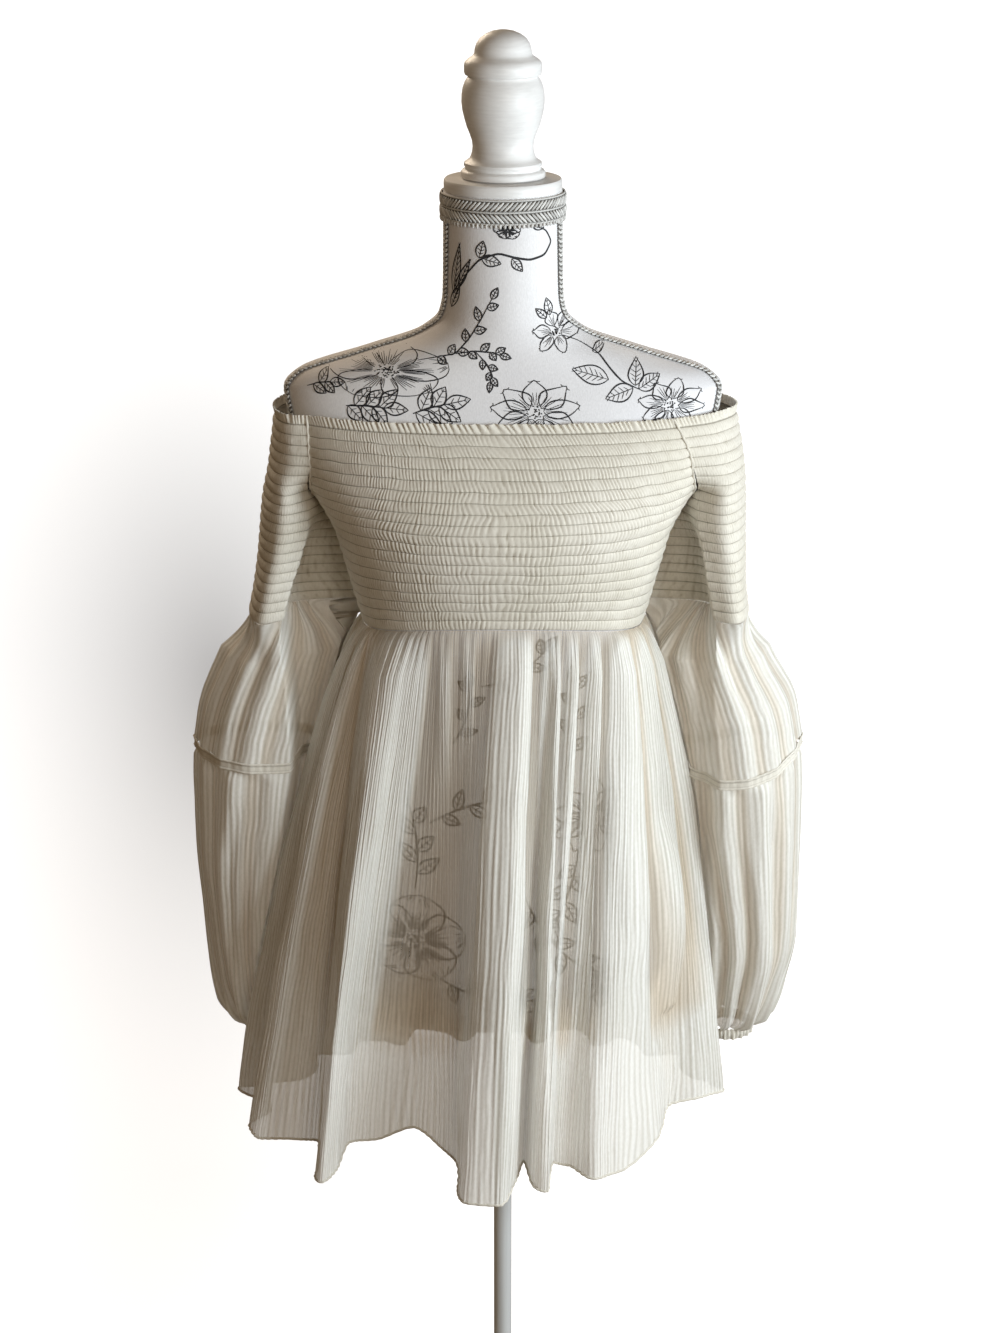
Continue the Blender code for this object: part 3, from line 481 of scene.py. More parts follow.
def stitch_run(name, path, outward_way, sideways, slant, shift, pitch, long):
    """One slanting stitch repeated along a path, as a single mesh."""
    gaps = np.linalg.norm(np.diff(path, axis=0), axis=1)
    reach = np.concatenate([[0.0], np.cumsum(gaps)])
    stops = np.arange(pitch / 2, reach[-1], pitch)
    ends = np.linspace(0, 1, 6)
    points = []
    faces = []
    shade = []
    for number, stop in enumerate(stops):
        centre = np.array([np.interp(stop, reach, path[:, k]) for k in range(3)])
        out = np.array([np.interp(stop, reach, outward_way[:, k]) for k in range(3)])
        side = np.array([np.interp(stop, reach, sideways[:, k]) for k in range(3)])
        along = np.cross(out, side)
        first = side * math.cos(slant) + along * math.sin(slant)
        second = np.cross(out, first)
        centre = centre + side * shift
        base = len(points)
        for end in ends:
            size = math.sin(math.pi * (0.08 + 0.84 * end)) ** 0.6
            middle = centre + first * (end - 0.5) * long
            for turn in range(6):
                angle = 2 * math.pi * turn / 6
                points.append(middle + second * math.cos(angle) * STITCH_WIDE * 0.5 * size
                              + out * (STITCH_HIGH * 0.5 * size * math.sin(angle) + STITCH_HIGH * 0.5))
        for ring in range(len(ends) - 1):
            for turn in range(6):
                k = (turn + 1) % 6
                low = base + ring * 6
                faces.append((low + turn, low + k, low + 6 + k, low + 6 + turn))
        faces.append(tuple(base + k for k in range(6))[::-1])
        faces.append(tuple(base + (len(ends) - 1) * 6 + k for k in range(6)))
        shade += [0.55 + 0.45 * float((number * 7) % 5) / 4.0] * 36
    mesh = bpy.data.meshes.new(name)
    mesh.from_pydata([tuple(point) for point in points], [], faces)
    layer = mesh.attributes.new("strand_tone_and_shadow", "FLOAT", "POINT")
    layer.data.foreach_set("value", np.array(shade, np.float32))
    facing = bmesh.new()
    facing.from_mesh(mesh)
    bmesh.ops.recalc_face_normals(facing, faces=facing.faces)
    facing.to_mesh(mesh)
    facing.free()
    run = bpy.data.objects.new(name, mesh)
    bpy.context.scene.collection.objects.link(run)
    mesh.polygons.foreach_set("use_smooth", np.ones(len(mesh.polygons), bool))
    return run


braid_finish, tree, shader, coords = new_finish("gimp_braid")
strand_tone_and_shadow = tree.nodes.new("ShaderNodeAttribute")
strand_tone_and_shadow.attribute_name = "strand_tone_and_shadow"
fuzz = speckle(tree, coords, 2500.0, 2.0)
# The attribute's value 0 is the dark strip under the stitches, painted shadow between them; the higher values
# are the stitches' own grey and ivory tones.
tint = blend_of(tree, strand_tone_and_shadow.outputs["Fac"], (0.20, 0.195, 0.185), (0.86, 0.855, 0.83))
worn_shade = blend_of(tree, fuzz, (0.75, 0.75, 0.75), (1.0, 1.0, 1.0))
tree.links.new(multiplied(tree, tint, worn_shade), shader.inputs["Base Color"])
tree.links.new(blend_of(tree, fuzz, (0.6, 0.6, 0.6), (0.85, 0.85, 0.85)), shader.inputs["Roughness"])
relief(tree, shader, fuzz, 0.5, 0.0003)

turns = np.linspace(0.0, 2 * np.pi, 181)
around = np.stack([np.cos(turns), np.sin(turns), np.zeros_like(turns)], axis=1)
upward = np.tile([0.0, 0.0, 1.0], (len(turns), 1))
neck_runs = []
for row, (z, slant) in enumerate(((1.2724, 0.80), (1.2828, -0.80))):
    ring = around * 0.0551 + (0.0, 0.0, z)
    neck_runs.append(stitch_run(
        "neck_braid_row_%d" % row, ring, around, upward, slant, 0.0, STITCH_PITCH, 0.0112))


ring = around * 0.0549 + (0.0, 0.0, 1.2655)
neck_runs.append(stitch_run("neck_braid_picots", ring, around, upward, 0.0, 0.0, STITCH_PITCH, 0.0040))


def one_shade(piece, value):
    layer = piece.data.attributes.new("strand_tone_and_shadow", "FLOAT", "POINT")
    layer.data.foreach_set("value", np.full(len(piece.data.vertices), value, np.float32))
    return piece


edge_lines = []
for z in (1.2672, 1.2775, 1.2880):
    bpy.ops.object.select_all(action="DESELECT")
    bpy.ops.mesh.primitive_torus_add(
        major_radius=0.0553, minor_radius=0.0008, major_segments=120, minor_segments=8, location=(0, 0, z))
    bpy.ops.object.transform_apply(location=True)
    edge_lines.append(one_shade(bpy.context.active_object, 0.8))
# A dark band inside the neck braid at value 0: painted shadow between its stitches.
bpy.ops.object.select_all(action="DESELECT")
bpy.ops.mesh.primitive_cylinder_add(
    vertices=120, radius=0.0550, depth=0.0205, end_fill_type="NOTHING", location=(0, 0, 1.2776))
bpy.ops.object.transform_apply(location=True)
edge_lines.append(one_shade(bpy.context.active_object, 0.0))
bpy.ops.object.select_all(action="DESELECT")
for run in neck_runs + edge_lines:
    run.select_set(True)
bpy.context.view_layer.objects.active = neck_runs[0]
bpy.ops.object.join()
neck_gimp = bpy.context.active_object
neck_gimp.name = "neck_gimp"
neck_gimp.data.materials.clear()
neck_gimp.data.materials.append(braid_finish)
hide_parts("neck_braid")
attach(neck_gimp, "root")

# Height, and the angle from the side at which the narrow braid runs
SEAM_WAY = np.array([
    (1.077, -0.30), (1.110, -0.24), (1.130, -0.14), (1.150, -0.12), (1.190, -0.36), (1.2655, -0.40),
])
for label, side in (("left", -1), ("right", 1)):
    heights = np.linspace(1.2655, 1.077, 260)
    turned = smooth(SEAM_WAY[:, 0], SEAM_WAY[:, 1], heights)
    line = torso_surface(heights, turned, 0.0006) * (side, 1.0, 1.0)
    run = np.gradient(line, axis=0)
    run /= np.linalg.norm(run, axis=1, keepdims=True)
    level = (torso_surface(heights, turned + 0.02) - torso_surface(heights, turned - 0.02)) * (side, 1.0, 1.0)
    level /= np.linalg.norm(level, axis=1, keepdims=True)
    out = np.cross(run, level) * side
    out /= np.linalg.norm(out, axis=1, keepdims=True)
    halves = [
        stitch_run(
            "seam_half_%s_%d" % (label, k), line, out, level, slant * side, shift, STITCH_PITCH, 0.0058)
        for k, (slant, shift) in enumerate(((0.6, 0.0020), (-0.6, -0.0020)))
    ]
    # A dark strip under each seam braid at value 0: painted shadow between its stitches.
    shadow_strip = bpy.data.meshes.new("seam_shadow_strip_" + label)
    edges_of_shadow_strip = np.concatenate([line - level * SHADOW_STRIP_HALF, line + level * SHADOW_STRIP_HALF])
    edges_of_shadow_strip += np.tile(out, (2, 1)) * 0.0004
    count = len(line)
    shadow_strip.from_pydata([tuple(point) for point in edges_of_shadow_strip], [],
                     [(k, k + 1, count + k + 1, count + k) for k in range(count - 1)])
    shadow_sheet = bpy.data.objects.new("seam_shadow_strip_" + label, shadow_strip)
    bpy.context.scene.collection.objects.link(shadow_sheet)
    if side < 0:
        shadow_strip.flip_normals()
    halves.append(one_shade(shadow_sheet, 0.0))
    bpy.ops.object.select_all(action="DESELECT")
    for half in halves:
        half.select_set(True)
    bpy.context.view_layer.objects.active = halves[0]
    bpy.ops.object.join()
    seam_gimp = bpy.context.active_object
    seam_gimp.name = "seam_gimp_" + label
    seam_gimp.data.materials.clear()
    seam_gimp.data.materials.append(braid_finish)
    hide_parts("seam_braid_" + label)
    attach(seam_gimp, "root")

# Neck cap and finial: a turned wooden disc and a turned urn knob with a domed top,
# painted white with the brush, the paint a little thin and grey in the grooves.
FINIAL_PROFILE = [
    (0.0000, 1.3002), (0.0360, 1.3002), (0.0378, 1.3014), (0.0378, 1.3055), (0.0366, 1.3072),
    (0.0342, 1.3082), (0.0340, 1.3100), (0.0350, 1.3116), (0.0346, 1.3140), (0.0322, 1.3158),
    (0.0300, 1.3172), (0.0287, 1.3200), (0.0276, 1.3240), (0.0272, 1.3280), (0.0277, 1.3330),
    (0.0297, 1.3390), (0.0322, 1.3450), (0.0345, 1.3530), (0.0362, 1.3600), (0.0370, 1.3670),
    (0.0368, 1.3740), (0.0358, 1.3800), (0.0340, 1.3850), (0.0320, 1.3880), (0.0312, 1.3892),
    (0.0316, 1.3902), (0.0338, 1.3912), (0.0346, 1.3935), (0.0346, 1.3990), (0.0340, 1.4020),
    (0.0310, 1.4048), (0.0272, 1.4072), (0.0256, 1.4094), (0.0252, 1.4130), (0.0238, 1.4180),
    (0.0205, 1.4228), (0.0158, 1.4262), (0.0100, 1.4287), (0.0045, 1.4298), (0.0000, 1.4300),
]
CAP_PROFILE = [
    (0.0000, 1.2890), (0.0520, 1.2890), (0.0530, 1.2900), (0.0531, 1.2950), (0.0529, 1.2984),
    (0.0518, 1.2998), (0.0500, 1.3000), (0.0000, 1.3000),
]


def turned_piece(name, profile, sides, centre=(0.0, 0.0)):
    """A profile of radius and height spun about the upright axis."""
    bpy.ops.object.select_all(action="DESELECT")
    mesh = bpy.data.meshes.new(name)
    piece = bpy.data.objects.new(name, mesh)
    bpy.context.scene.collection.objects.link(piece)
    mesh.from_pydata([(centre[0] + r, centre[1], z) for r, z in profile],
                     [(k, k + 1) for k in range(len(profile) - 1)], [])
    bpy.context.view_layer.objects.active = piece
    piece.select_set(True)
    bpy.ops.object.mode_set(mode="EDIT")
    bpy.ops.mesh.select_all(action="SELECT")
    bpy.ops.mesh.spin(
        steps=sides, angle=2 * math.pi, center=(centre[0], centre[1], 0.0), axis=(0.0, 0.0, 1.0))
    bpy.ops.mesh.select_all(action="SELECT")
    bpy.ops.mesh.remove_doubles(threshold=1e-6)
    bpy.ops.mesh.normals_make_consistent(inside=False)
    bpy.ops.object.mode_set(mode="OBJECT")
    bpy.ops.object.shade_smooth_by_angle(angle=math.radians(38))
    return piece


paint_finish, tree, shader, coords = new_finish("brushed_white_paint")
strokes_of_brush = speckle(tree, coords, 60.0, 4.0, (1.0, 1.0, 9.0))
wear = speckle(tree, coords, 34.0, 5.0)
tint = blend_of(tree, wear, (0.79, 0.79, 0.78), (0.88, 0.88, 0.875), 0.3, 0.6)
shadowed = blend_of(tree, strokes_of_brush, (0.93, 0.93, 0.93), (1.0, 1.0, 1.0), 0.3, 0.65)
tree.links.new(multiplied(tree, tint, shadowed), shader.inputs["Base Color"])
tree.links.new(blend_of(tree, wear, (0.34, 0.34, 0.34), (0.52, 0.52, 0.52)), shader.inputs["Roughness"])
relief(tree, shader, strokes_of_brush, 0.25, 0.0005)
for name, profile, node in (
    ("finial_knob", FINIAL_PROFILE, "finial"), ("neck_disc", CAP_PROFILE, "neck_cap"),
):
    turned = turned_piece(name, profile, 96)
    turned.data.materials.append(paint_finish)
    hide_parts(node)
    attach(turned, "root")

# Stand: a steel tube rising from a short hub on a plain round plate, the tube satin and
# the plate painted dark grey.
pole_finish, tree, shader, coords = new_finish("satin_steel_tube")
drawn = speckle(tree, coords, 90.0, 3.0, (1.0, 1.0, 0.04))
satin_shade = blend_of(tree, drawn, (0.66, 0.69, 0.70), (0.80, 0.825, 0.83), 0.3, 0.7)
tree.links.new(satin_shade, shader.inputs["Base Color"])
tree.links.new(blend_of(tree, drawn, (0.26, 0.26, 0.26), (0.42, 0.42, 0.42)), shader.inputs["Roughness"])
shader.inputs["Metallic"].default_value = 0.15
pole_tube = turned_piece("pole_tube", [(0.0, 0.0402), (0.0088, 0.0402), (0.0088, 0.5128), (0.0, 0.5128)], 64)
pole_tube.data.materials.append(pole_finish)
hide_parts("pole")
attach(pole_tube, "root")

plate_finish, tree, shader, coords = new_finish("dark_base_paint")
powder = speckle(tree, coords, 700.0, 3.0)
tree.links.new(blend_of(tree, powder, (0.10, 0.10, 0.105), (0.16, 0.16, 0.165)), shader.inputs["Base Color"])
tree.links.new(blend_of(tree, powder, (0.38, 0.38, 0.38), (0.55, 0.55, 0.55)), shader.inputs["Roughness"])
relief(tree, shader, powder, 0.3, 0.0002)
base_plate = turned_piece("base_plate", [
    (0.0, 0.0), (0.1385, 0.0), (0.1400, 0.0015), (0.1400, 0.0080), (0.1388, 0.0108), (0.1360, 0.0120),
    (0.0240, 0.0136), (0.0218, 0.0146), (0.0210, 0.0165), (0.0210, 0.0378),
    (0.0203, 0.0396), (0.0188, 0.0400), (0.0, 0.0400),
], 128)
base_plate.data.materials.append(plate_finish)
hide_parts("base")
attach(base_plate, "root")

# Bodice: front and back panels of ivory cotton shirred on elastic thread, nineteen puffed
# bands between level stitch lines under a narrow frilled header, sewn at raglan and side seams.
NECK_EDGE_Z = 1.0950
FIRST_STITCH_Z = 1.0857
BAND_PITCH = 0.00928
BODICE_BANDS = 19
WAIST_SEAM_Z = FIRST_STITCH_Z - BODICE_BANDS * BAND_PITCH
ARMHOLE_Z = 1.0010
CLEAR_OF_FORM = 0.0027
SIDE_SAG = 0.019

# Height, then the seam's angle from the side in degrees: left front, right front, both backs
RAGLAN_SEAMS = np.array([
    (1.001, 0.0, 0.0, 0.0),
    (1.0114, 7.0, 6.5, 7.0),
    (1.0207, 13.5, 13.0, 13.5),
    (1.030, 19.0, 20.0, 19.0),
    (1.045, 25.5, 27.7, 25.0),
    (1.060, 28.5, 32.5, 28.0),
    (1.075, 30.5, 37.8, 31.0),
    (1.095, 32.0, 44.4, 33.0),
])


def wander(u, v, across, down, seed):
    """Smooth values between -1 and 1 that wander over a panel."""
    lattice = np.random.default_rng(seed).uniform(-1.0, 1.0, (down + 2, across + 2))
    x = np.clip(u, 0.0, 1.0) * across
    y = np.clip(v, 0.0, 1.0) * down
    i = np.floor(x).astype(int)
    j = np.floor(y).astype(int)
    fx = x - i
    fy = y - j
    fx = fx * fx * (3 - 2 * fx)
    fy = fy * fy * (3 - 2 * fy)
    low = lattice[j, i] * (1 - fx) + lattice[j, i + 1] * fx
    high = lattice[j + 1, i] * (1 - fx) + lattice[j + 1, i + 1] * fx
    return low * (1 - fy) + high * fy


# Shares of a band at which its cloth is shaped: close together beside the stitch lines
BAND_STOPS = (0.0, 0.045, 0.11, 0.25, 0.5, 0.75, 0.89, 0.955, 1.0)
ROWS_A_BAND = len(BAND_STOPS) - 1
HEADER_ROWS = 6


def band_place(rows_down):
    """Place in bands below the first stitch line, for rows counted down from the neck edge."""
    below = np.maximum(rows_down - HEADER_ROWS, 0.0)
    whole = np.floor(below / ROWS_A_BAND + 1e-9)
    share = np.interp(below - whole * ROWS_A_BAND, np.arange(ROWS_A_BAND + 1), BAND_STOPS)
    return np.where(rows_down < HEADER_ROWS, rows_down / HEADER_ROWS - 1, whole + share)


def band_height(band):
    """Height of a place in bands."""
    header = FIRST_STITCH_Z - band * (NECK_EDGE_Z - FIRST_STITCH_Z)
    return np.where(band < 0, header, FIRST_STITCH_Z - band * BAND_PITCH)


def smocking(u, band, bands, puckers, roll, gather, fullness, seed):
    """Height of shirred cloth over its plain side, and its depth in a stitch line and a pucker, which the
    finish paints as shade.
    """
    v = np.clip(band / bands, 0.0, 1.0)
    inside = np.clip(band, 0.0, bands)
    puff = np.abs(np.sin(np.pi * inside)) ** fullness
    phase = np.pi * u * puckers
    phase = phase + 1.3 * wander(u, v, int(puckers / 3), bands, seed) + 1.0 * wander(u, v, 14, 5, seed + 1)
    strength = 0.62 + 0.38 * wander(u, v, int(puckers / 2), bands, seed + 2)
    pleat = np.abs(np.sin(phase)) ** 0.75
    ripple = (2 * pleat - 1) * strength
    swell = 1.0 + 0.14 * wander(u, v, 30, bands, seed + 3)
    height = 0.0004 + roll * puff * swell + gather * ripple * (0.35 + 0.65 * puff)
    header = np.clip(-band, 0.0, 1.0)
    frill = np.abs(np.sin(phase * 0.62 + 1.3 * wander(u, u * 0, 40, 1, seed + 4))) ** 0.8 * 2 - 1
    height = np.where(band < 0, 0.0006 + 0.0019 * header + 0.0013 * (0.2 + header) * frill, height)
    near = np.abs(band - np.rint(band))
    line = np.where(band < 0, np.exp(-(header / 0.09) ** 2), np.exp(-(near / 0.034) ** 2))
    valley_shade = np.clip(1 - pleat, 0.0, 1.0) ** 2 * strength
    frilled = np.clip(-frill, 0.0, 1.0) * 0.25
    return height, line, np.where(band < 0, frilled, valley_shade)


def panel_cloth(first, last, seams, puckers, seed):
    """Function that wraps a grid into one bodice panel between two seam angles in degrees."""
    def place(u, v):
        band = band_place((1 - v) * (BODICE_BANDS * ROWS_A_BAND + HEADER_ROWS))
        level = band_height(band)
        start, end = (np.radians(smooth(RAGLAN_SEAMS[:, 0], RAGLAN_SEAMS[:, k], level)) for k in seams)
        start = math.radians(first) + start + 0.0012
        end = math.radians(last) - end - 0.0012
        angle = start + (end - start) * u
        sag = SIDE_SAG * np.clip((ARMHOLE_Z - level) / (ARMHOLE_Z - WAIST_SEAM_Z), 0.0, 1.0)
        edge = np.clip(np.abs(u - 0.5) * 2, 0.0, 1.0) ** 3
        lift, line, valley_shade = smocking(u, band, BODICE_BANDS, puckers, 0.0016 + 0.0006 * edge,
                                      0.00062 - 0.00030 * edge, 0.34 + 0.12 * edge, seed)
        uneven = 0.0007 * wander(u, v, 22, 10, seed + 9) * np.clip(band, 0.0, 1.0)
        uneven = uneven * np.clip(BODICE_BANDS - band, 0.0, 1.0)
        points = torso_surface(level - sag * np.cos(angle) ** 2 + uneven, angle, CLEAR_OF_FORM + lift)
        points[:, 2] += np.where(band < 0, 0.0008 * wander(u, u * 0, 60, 1, seed + 5) * -band, 0.0)
        return points, {"furrow_shade": line, "valley_shade": valley_shade * (1 - 0.6 * edge)}
    return place


smock_finish, tree, shader, coords = new_finish("shirred_ivory_cotton")
furrow_shade = tree.nodes.new("ShaderNodeAttribute")
furrow_shade.attribute_name = "furrow_shade"
valley_shade = tree.nodes.new("ShaderNodeAttribute")
valley_shade.attribute_name = "valley_shade"
crimp = speckle(tree, coords, 520.0, 3.0, (1.0, 1.0, 0.5))
cloud = speckle(tree, coords, 16.0, 4.0)
# Painted shade: the colour darkens and warms along the stitch lines, at the header's foot and in the pucker
# and frill hollows.
tint = blend_of(tree, furrow_shade.outputs["Fac"], (0.76, 0.725, 0.65), (0.26, 0.235, 0.19), 0.10, 1.0)
pucker_shade = blend_of(tree, valley_shade.outputs["Fac"], (1.0, 1.0, 1.0), (0.55, 0.51, 0.44), 0.05, 0.85)
tint = multiplied(tree, tint, pucker_shade)
aged = blend_of(tree, cloud, (0.93, 0.925, 0.90), (1.0, 1.0, 1.0), 0.35, 0.65)
fine = blend_of(tree, crimp, (0.90, 0.895, 0.88), (1.0, 1.0, 1.0), 0.3, 0.65)
tree.links.new(multiplied(tree, multiplied(tree, tint, aged), fine), shader.inputs["Base Color"])
tree.links.new(blend_of(tree, crimp, (0.78, 0.78, 0.78), (0.94, 0.94, 0.94)), shader.inputs["Roughness"])
shader.inputs["Sheen Weight"].default_value = 0.12
relief(tree, shader, crimp, 0.45, 0.0004)

for name, columns, rows, first, last, seams, puckers, node, flat in (
    ("bodice_front_shirred", 600, 158, 180.0, 360.0, (1, 2), 116, "bodice_front", (0.58, 0.20)),
    ("bodice_back_shirred", 420, 158, 0.0, 180.0, (3, 3), 104, "bodice_back", (0.56, 0.20)),
):
    panel = wrapped_grid(name, columns, rows, panel_cloth(first, last, seams, puckers, 20 + int(last)))
    panel.data.materials.append(smock_finish)
    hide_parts(node)
    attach(panel, "root")

# Upper sleeves: raglan tubes of the same shirred cotton, twenty plumper bands, open caps
# over the form's shoulders and closed tubes hanging below, their body side in a soft crease.
SLEEVE_BANDS = 20
NOTCH_Z = FIRST_STITCH_Z - 7 * BAND_PITCH
SLEEVE_FOOT_Z = FIRST_STITCH_Z - SLEEVE_BANDS * BAND_PITCH

# Height, outer x, front crease x and y, back crease x and y, body side x and y, fullness
TUBE_LEFT = np.array([
    (0.8995, 0.2336, 0.2045, -0.045, 0.190, 0.050, 0.1290, 0.034, 0.054),
    (0.9300, 0.2276, 0.1965, -0.044, 0.188, 0.048, 0.1385, 0.028, 0.054),
    (0.9600, 0.2238, 0.1865, -0.041, 0.185, 0.044, 0.1485, 0.018, 0.053),
    (1.0000, 0.2206, 0.1780, -0.036, 0.179, 0.040, 0.1670, 0.004, 0.053),
    (1.0207, 0.2170, 0.1785, -0.030, 0.178, 0.028, 0.1815, 0.000, 0.052),
])
TUBE_RIGHT = np.array([
    (0.8995, 0.2260, 0.1960, -0.045, 0.185, 0.050, 0.1290, 0.034, 0.054),
    (0.9300, 0.2235, 0.1900, -0.044, 0.185, 0.048, 0.1385, 0.028, 0.054),
    (0.9600, 0.2225, 0.1850, -0.041, 0.183, 0.044, 0.1485, 0.018, 0.053),
    (1.0000, 0.2215, 0.1780, -0.036, 0.178, 0.040, 0.1670, 0.004, 0.053),
    (1.0207, 0.2205, 0.1785, -0.030, 0.178, 0.028, 0.1815, 0.000, 0.052),
])
CAP_TOP = np.array([
    (1.0207, 0.2170, 0.2205, 0.052),
    (1.0400, 0.2128, 0.2195, 0.050),
    (1.0700, 0.2090, 0.2150, 0.048),
    (1.0950, 0.2062, 0.2110, 0.046),
])


def run_through(points, count):
    """Count + 1 points spaced evenly along a smooth curve through the given level points."""
    points = np.asarray(points, float)
    reach = np.concatenate([[0.0], np.cumsum(np.linalg.norm(np.diff(points, axis=0), axis=1))])
    slope = np.gradient(points, reach, axis=0)
    at = np.linspace(0.0, reach[-1], count + 1)
    i = np.clip(np.searchsorted(reach, at, side="right") - 1, 0, len(points) - 2)
    h = (reach[i + 1] - reach[i])[:, None]
    t = ((at - reach[i]) / h[:, 0])[:, None]
    start = points[i] * (1 + 2 * t) * (1 - t) ** 2 + slope[i] * h * t * (1 - t) ** 2
    end = points[i + 1] * t * t * (3 - 2 * t) + slope[i + 1] * h * t * t * (t - 1)
    return start + end


def sleeve_ring(side, z, arc_cells, body_cells):
    """Lining line of the sleeve at a height: the cap arc, and the body side below the armhole."""
    left = side < 0
    tube = TUBE_LEFT if left else TUBE_RIGHT
    if z > NOTCH_Z + 0.0005:
        outer_left, outer_right, full = (float(smooth(CAP_TOP[:, 0], CAP_TOP[:, k], z)) for k in (1, 2, 3))
        outer_x = outer_left if left else outer_right
        front_angle = math.radians(float(smooth(RAGLAN_SEAMS[:, 0], RAGLAN_SEAMS[:, 1 if left else 2], z)))
        back_angle = math.radians(float(smooth(RAGLAN_SEAMS[:, 0], RAGLAN_SEAMS[:, 3], z)))
        lift = min(1.0, max(0.0, (1.060 - z) / (1.060 - NOTCH_Z)))
        gap = 0.0040 + 0.024 * lift
        out = CLEAR_OF_FORM + 0.0060 * lift
        front_x, front_y = torso_surface(np.array(z), np.array(gap - front_angle), out)[:2]
        back_x, back_y = torso_surface(np.array(z), np.array(back_angle - gap), out)[:2]
        body = None
    else:
        values = [float(smooth(tube[:, 0], tube[:, k], z)) for k in range(1, 9)]
        outer_x, front_x, front_y, back_x, back_y, body_x, body_y, full = values
        body = (body_x, body_y)
        setback = min(1.0, max(0.0, (1.012 - z) / 0.05))
    arc = run_through([
        (front_x, front_y),
        (front_x + (outer_x - front_x) * 0.45, -full),
        (outer_x, 0.0),
        (back_x + (outer_x - back_x) * 0.45, full),
        (back_x, back_y),
    ], arc_cells)
    if body is None:
        return arc, False
    inward = run_through([
        (back_x, back_y),
        ((back_x + body[0]) / 2, (back_y + body[1]) / 2 + 0.004),
        body,
        ((front_x + body[0]) / 2 + 0.5 * setback * (front_x - body[0]) - 0.004,
         (front_y + body[1]) / 2 + 0.02 * setback),
        (front_x, front_y),
    ], body_cells)
    return np.concatenate([arc, inward[1:-1]]), True


def ring_ways(ring, closed):
    """Level outward directions along a ring of points."""
    if closed:
        ahead = np.roll(ring, -1, axis=0) - np.roll(ring, 1, axis=0)
    else:
        ahead = np.gradient(ring, axis=0)
    ways = np.stack([ahead[:, 1], -ahead[:, 0]], axis=1)
    return ways / np.linalg.norm(ways, axis=1, keepdims=True)


ARC_CELLS = 210
BODY_CELLS = 84
for label, side in (("left", -1), ("right", 1)):
    def sleeve_part(u, v, first_row, last_row, whole, seed=70 + side):
        rows, row = np.unique(np.rint(first_row + (last_row - first_row) * (1 - v)), return_inverse=True)
        points = np.empty((len(u), 3))
        line = np.empty(len(u))
        valley_shade = np.empty(len(u))
        for number, rows_down in enumerate(rows):
            band = float(band_place(np.array(rows_down)))
            z = float(band_height(np.array(band)))
            ring, closed = sleeve_ring(side, z, ARC_CELLS, BODY_CELLS)
            ways = ring_ways(ring, closed)
            if whole:
                ring = np.concatenate([ring, ring[:1]])
                ways = np.concatenate([ways, ways[:1]])
            here = np.nonzero(row == number)[0]
            column = np.rint(u[here] * (ARC_CELLS + (BODY_CELLS if whole else 0))).astype(int)
            share = np.where(column == ARC_CELLS + BODY_CELLS, 0.0, column / (ARC_CELLS + BODY_CELLS))
            at = np.full(len(here), band)
            lift, line[here], valley_shade[here] = smocking(
                share, at, SLEEVE_BANDS, 84, 0.0021, 0.00036, 0.46, seed)
            lift = lift + 0.0005 * wander(share, at * 0 + band / SLEEVE_BANDS, 12, 6, seed + 8)
            flat_points = ring[column] + ways[column] * lift[:, None]
            droop_share = min(max((band - 7) / 3, 0), 1) * min(max(20 - band, 0), 1)
            droop = 0.0014 * np.sin(2 * np.pi * share + 0.6) * droop_share
            points[here, 0] = flat_points[:, 0] * side
            points[here, 1] = flat_points[:, 1]
            points[here, 2] = z + droop
        return points, {"furrow_shade": line, "valley_shade": valley_shade * 0.8}

    cap_rows = HEADER_ROWS + 7 * ROWS_A_BAND
    all_rows = HEADER_ROWS + SLEEVE_BANDS * ROWS_A_BAND
    cap = wrapped_grid("sleeve_cap_" + label, ARC_CELLS, cap_rows,
                       lambda u, v: sleeve_part(u, v, 0, cap_rows, False), ring=True)
    tube = wrapped_grid("sleeve_tube_" + label, ARC_CELLS + BODY_CELLS, all_rows - cap_rows,
                        lambda u, v: sleeve_part(u, v, cap_rows, all_rows, True), ring=True)
    bpy.ops.object.select_all(action="DESELECT")
    tube.select_set(True)
    cap.select_set(True)
    bpy.context.view_layer.objects.active = cap
    bpy.ops.object.join()
    cap.name = "sleeve_shirred_" + label
    merged = bmesh.new()
    merged.from_mesh(cap.data)
    bmesh.ops.remove_doubles(merged, verts=merged.verts, dist=2e-5)
    merged.to_mesh(cap.data)
    merged.free()
    cap.data.materials.clear()
    cap.data.materials.append(smock_finish)
    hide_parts("sleeve_upper_" + label)
    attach(cap, "root")

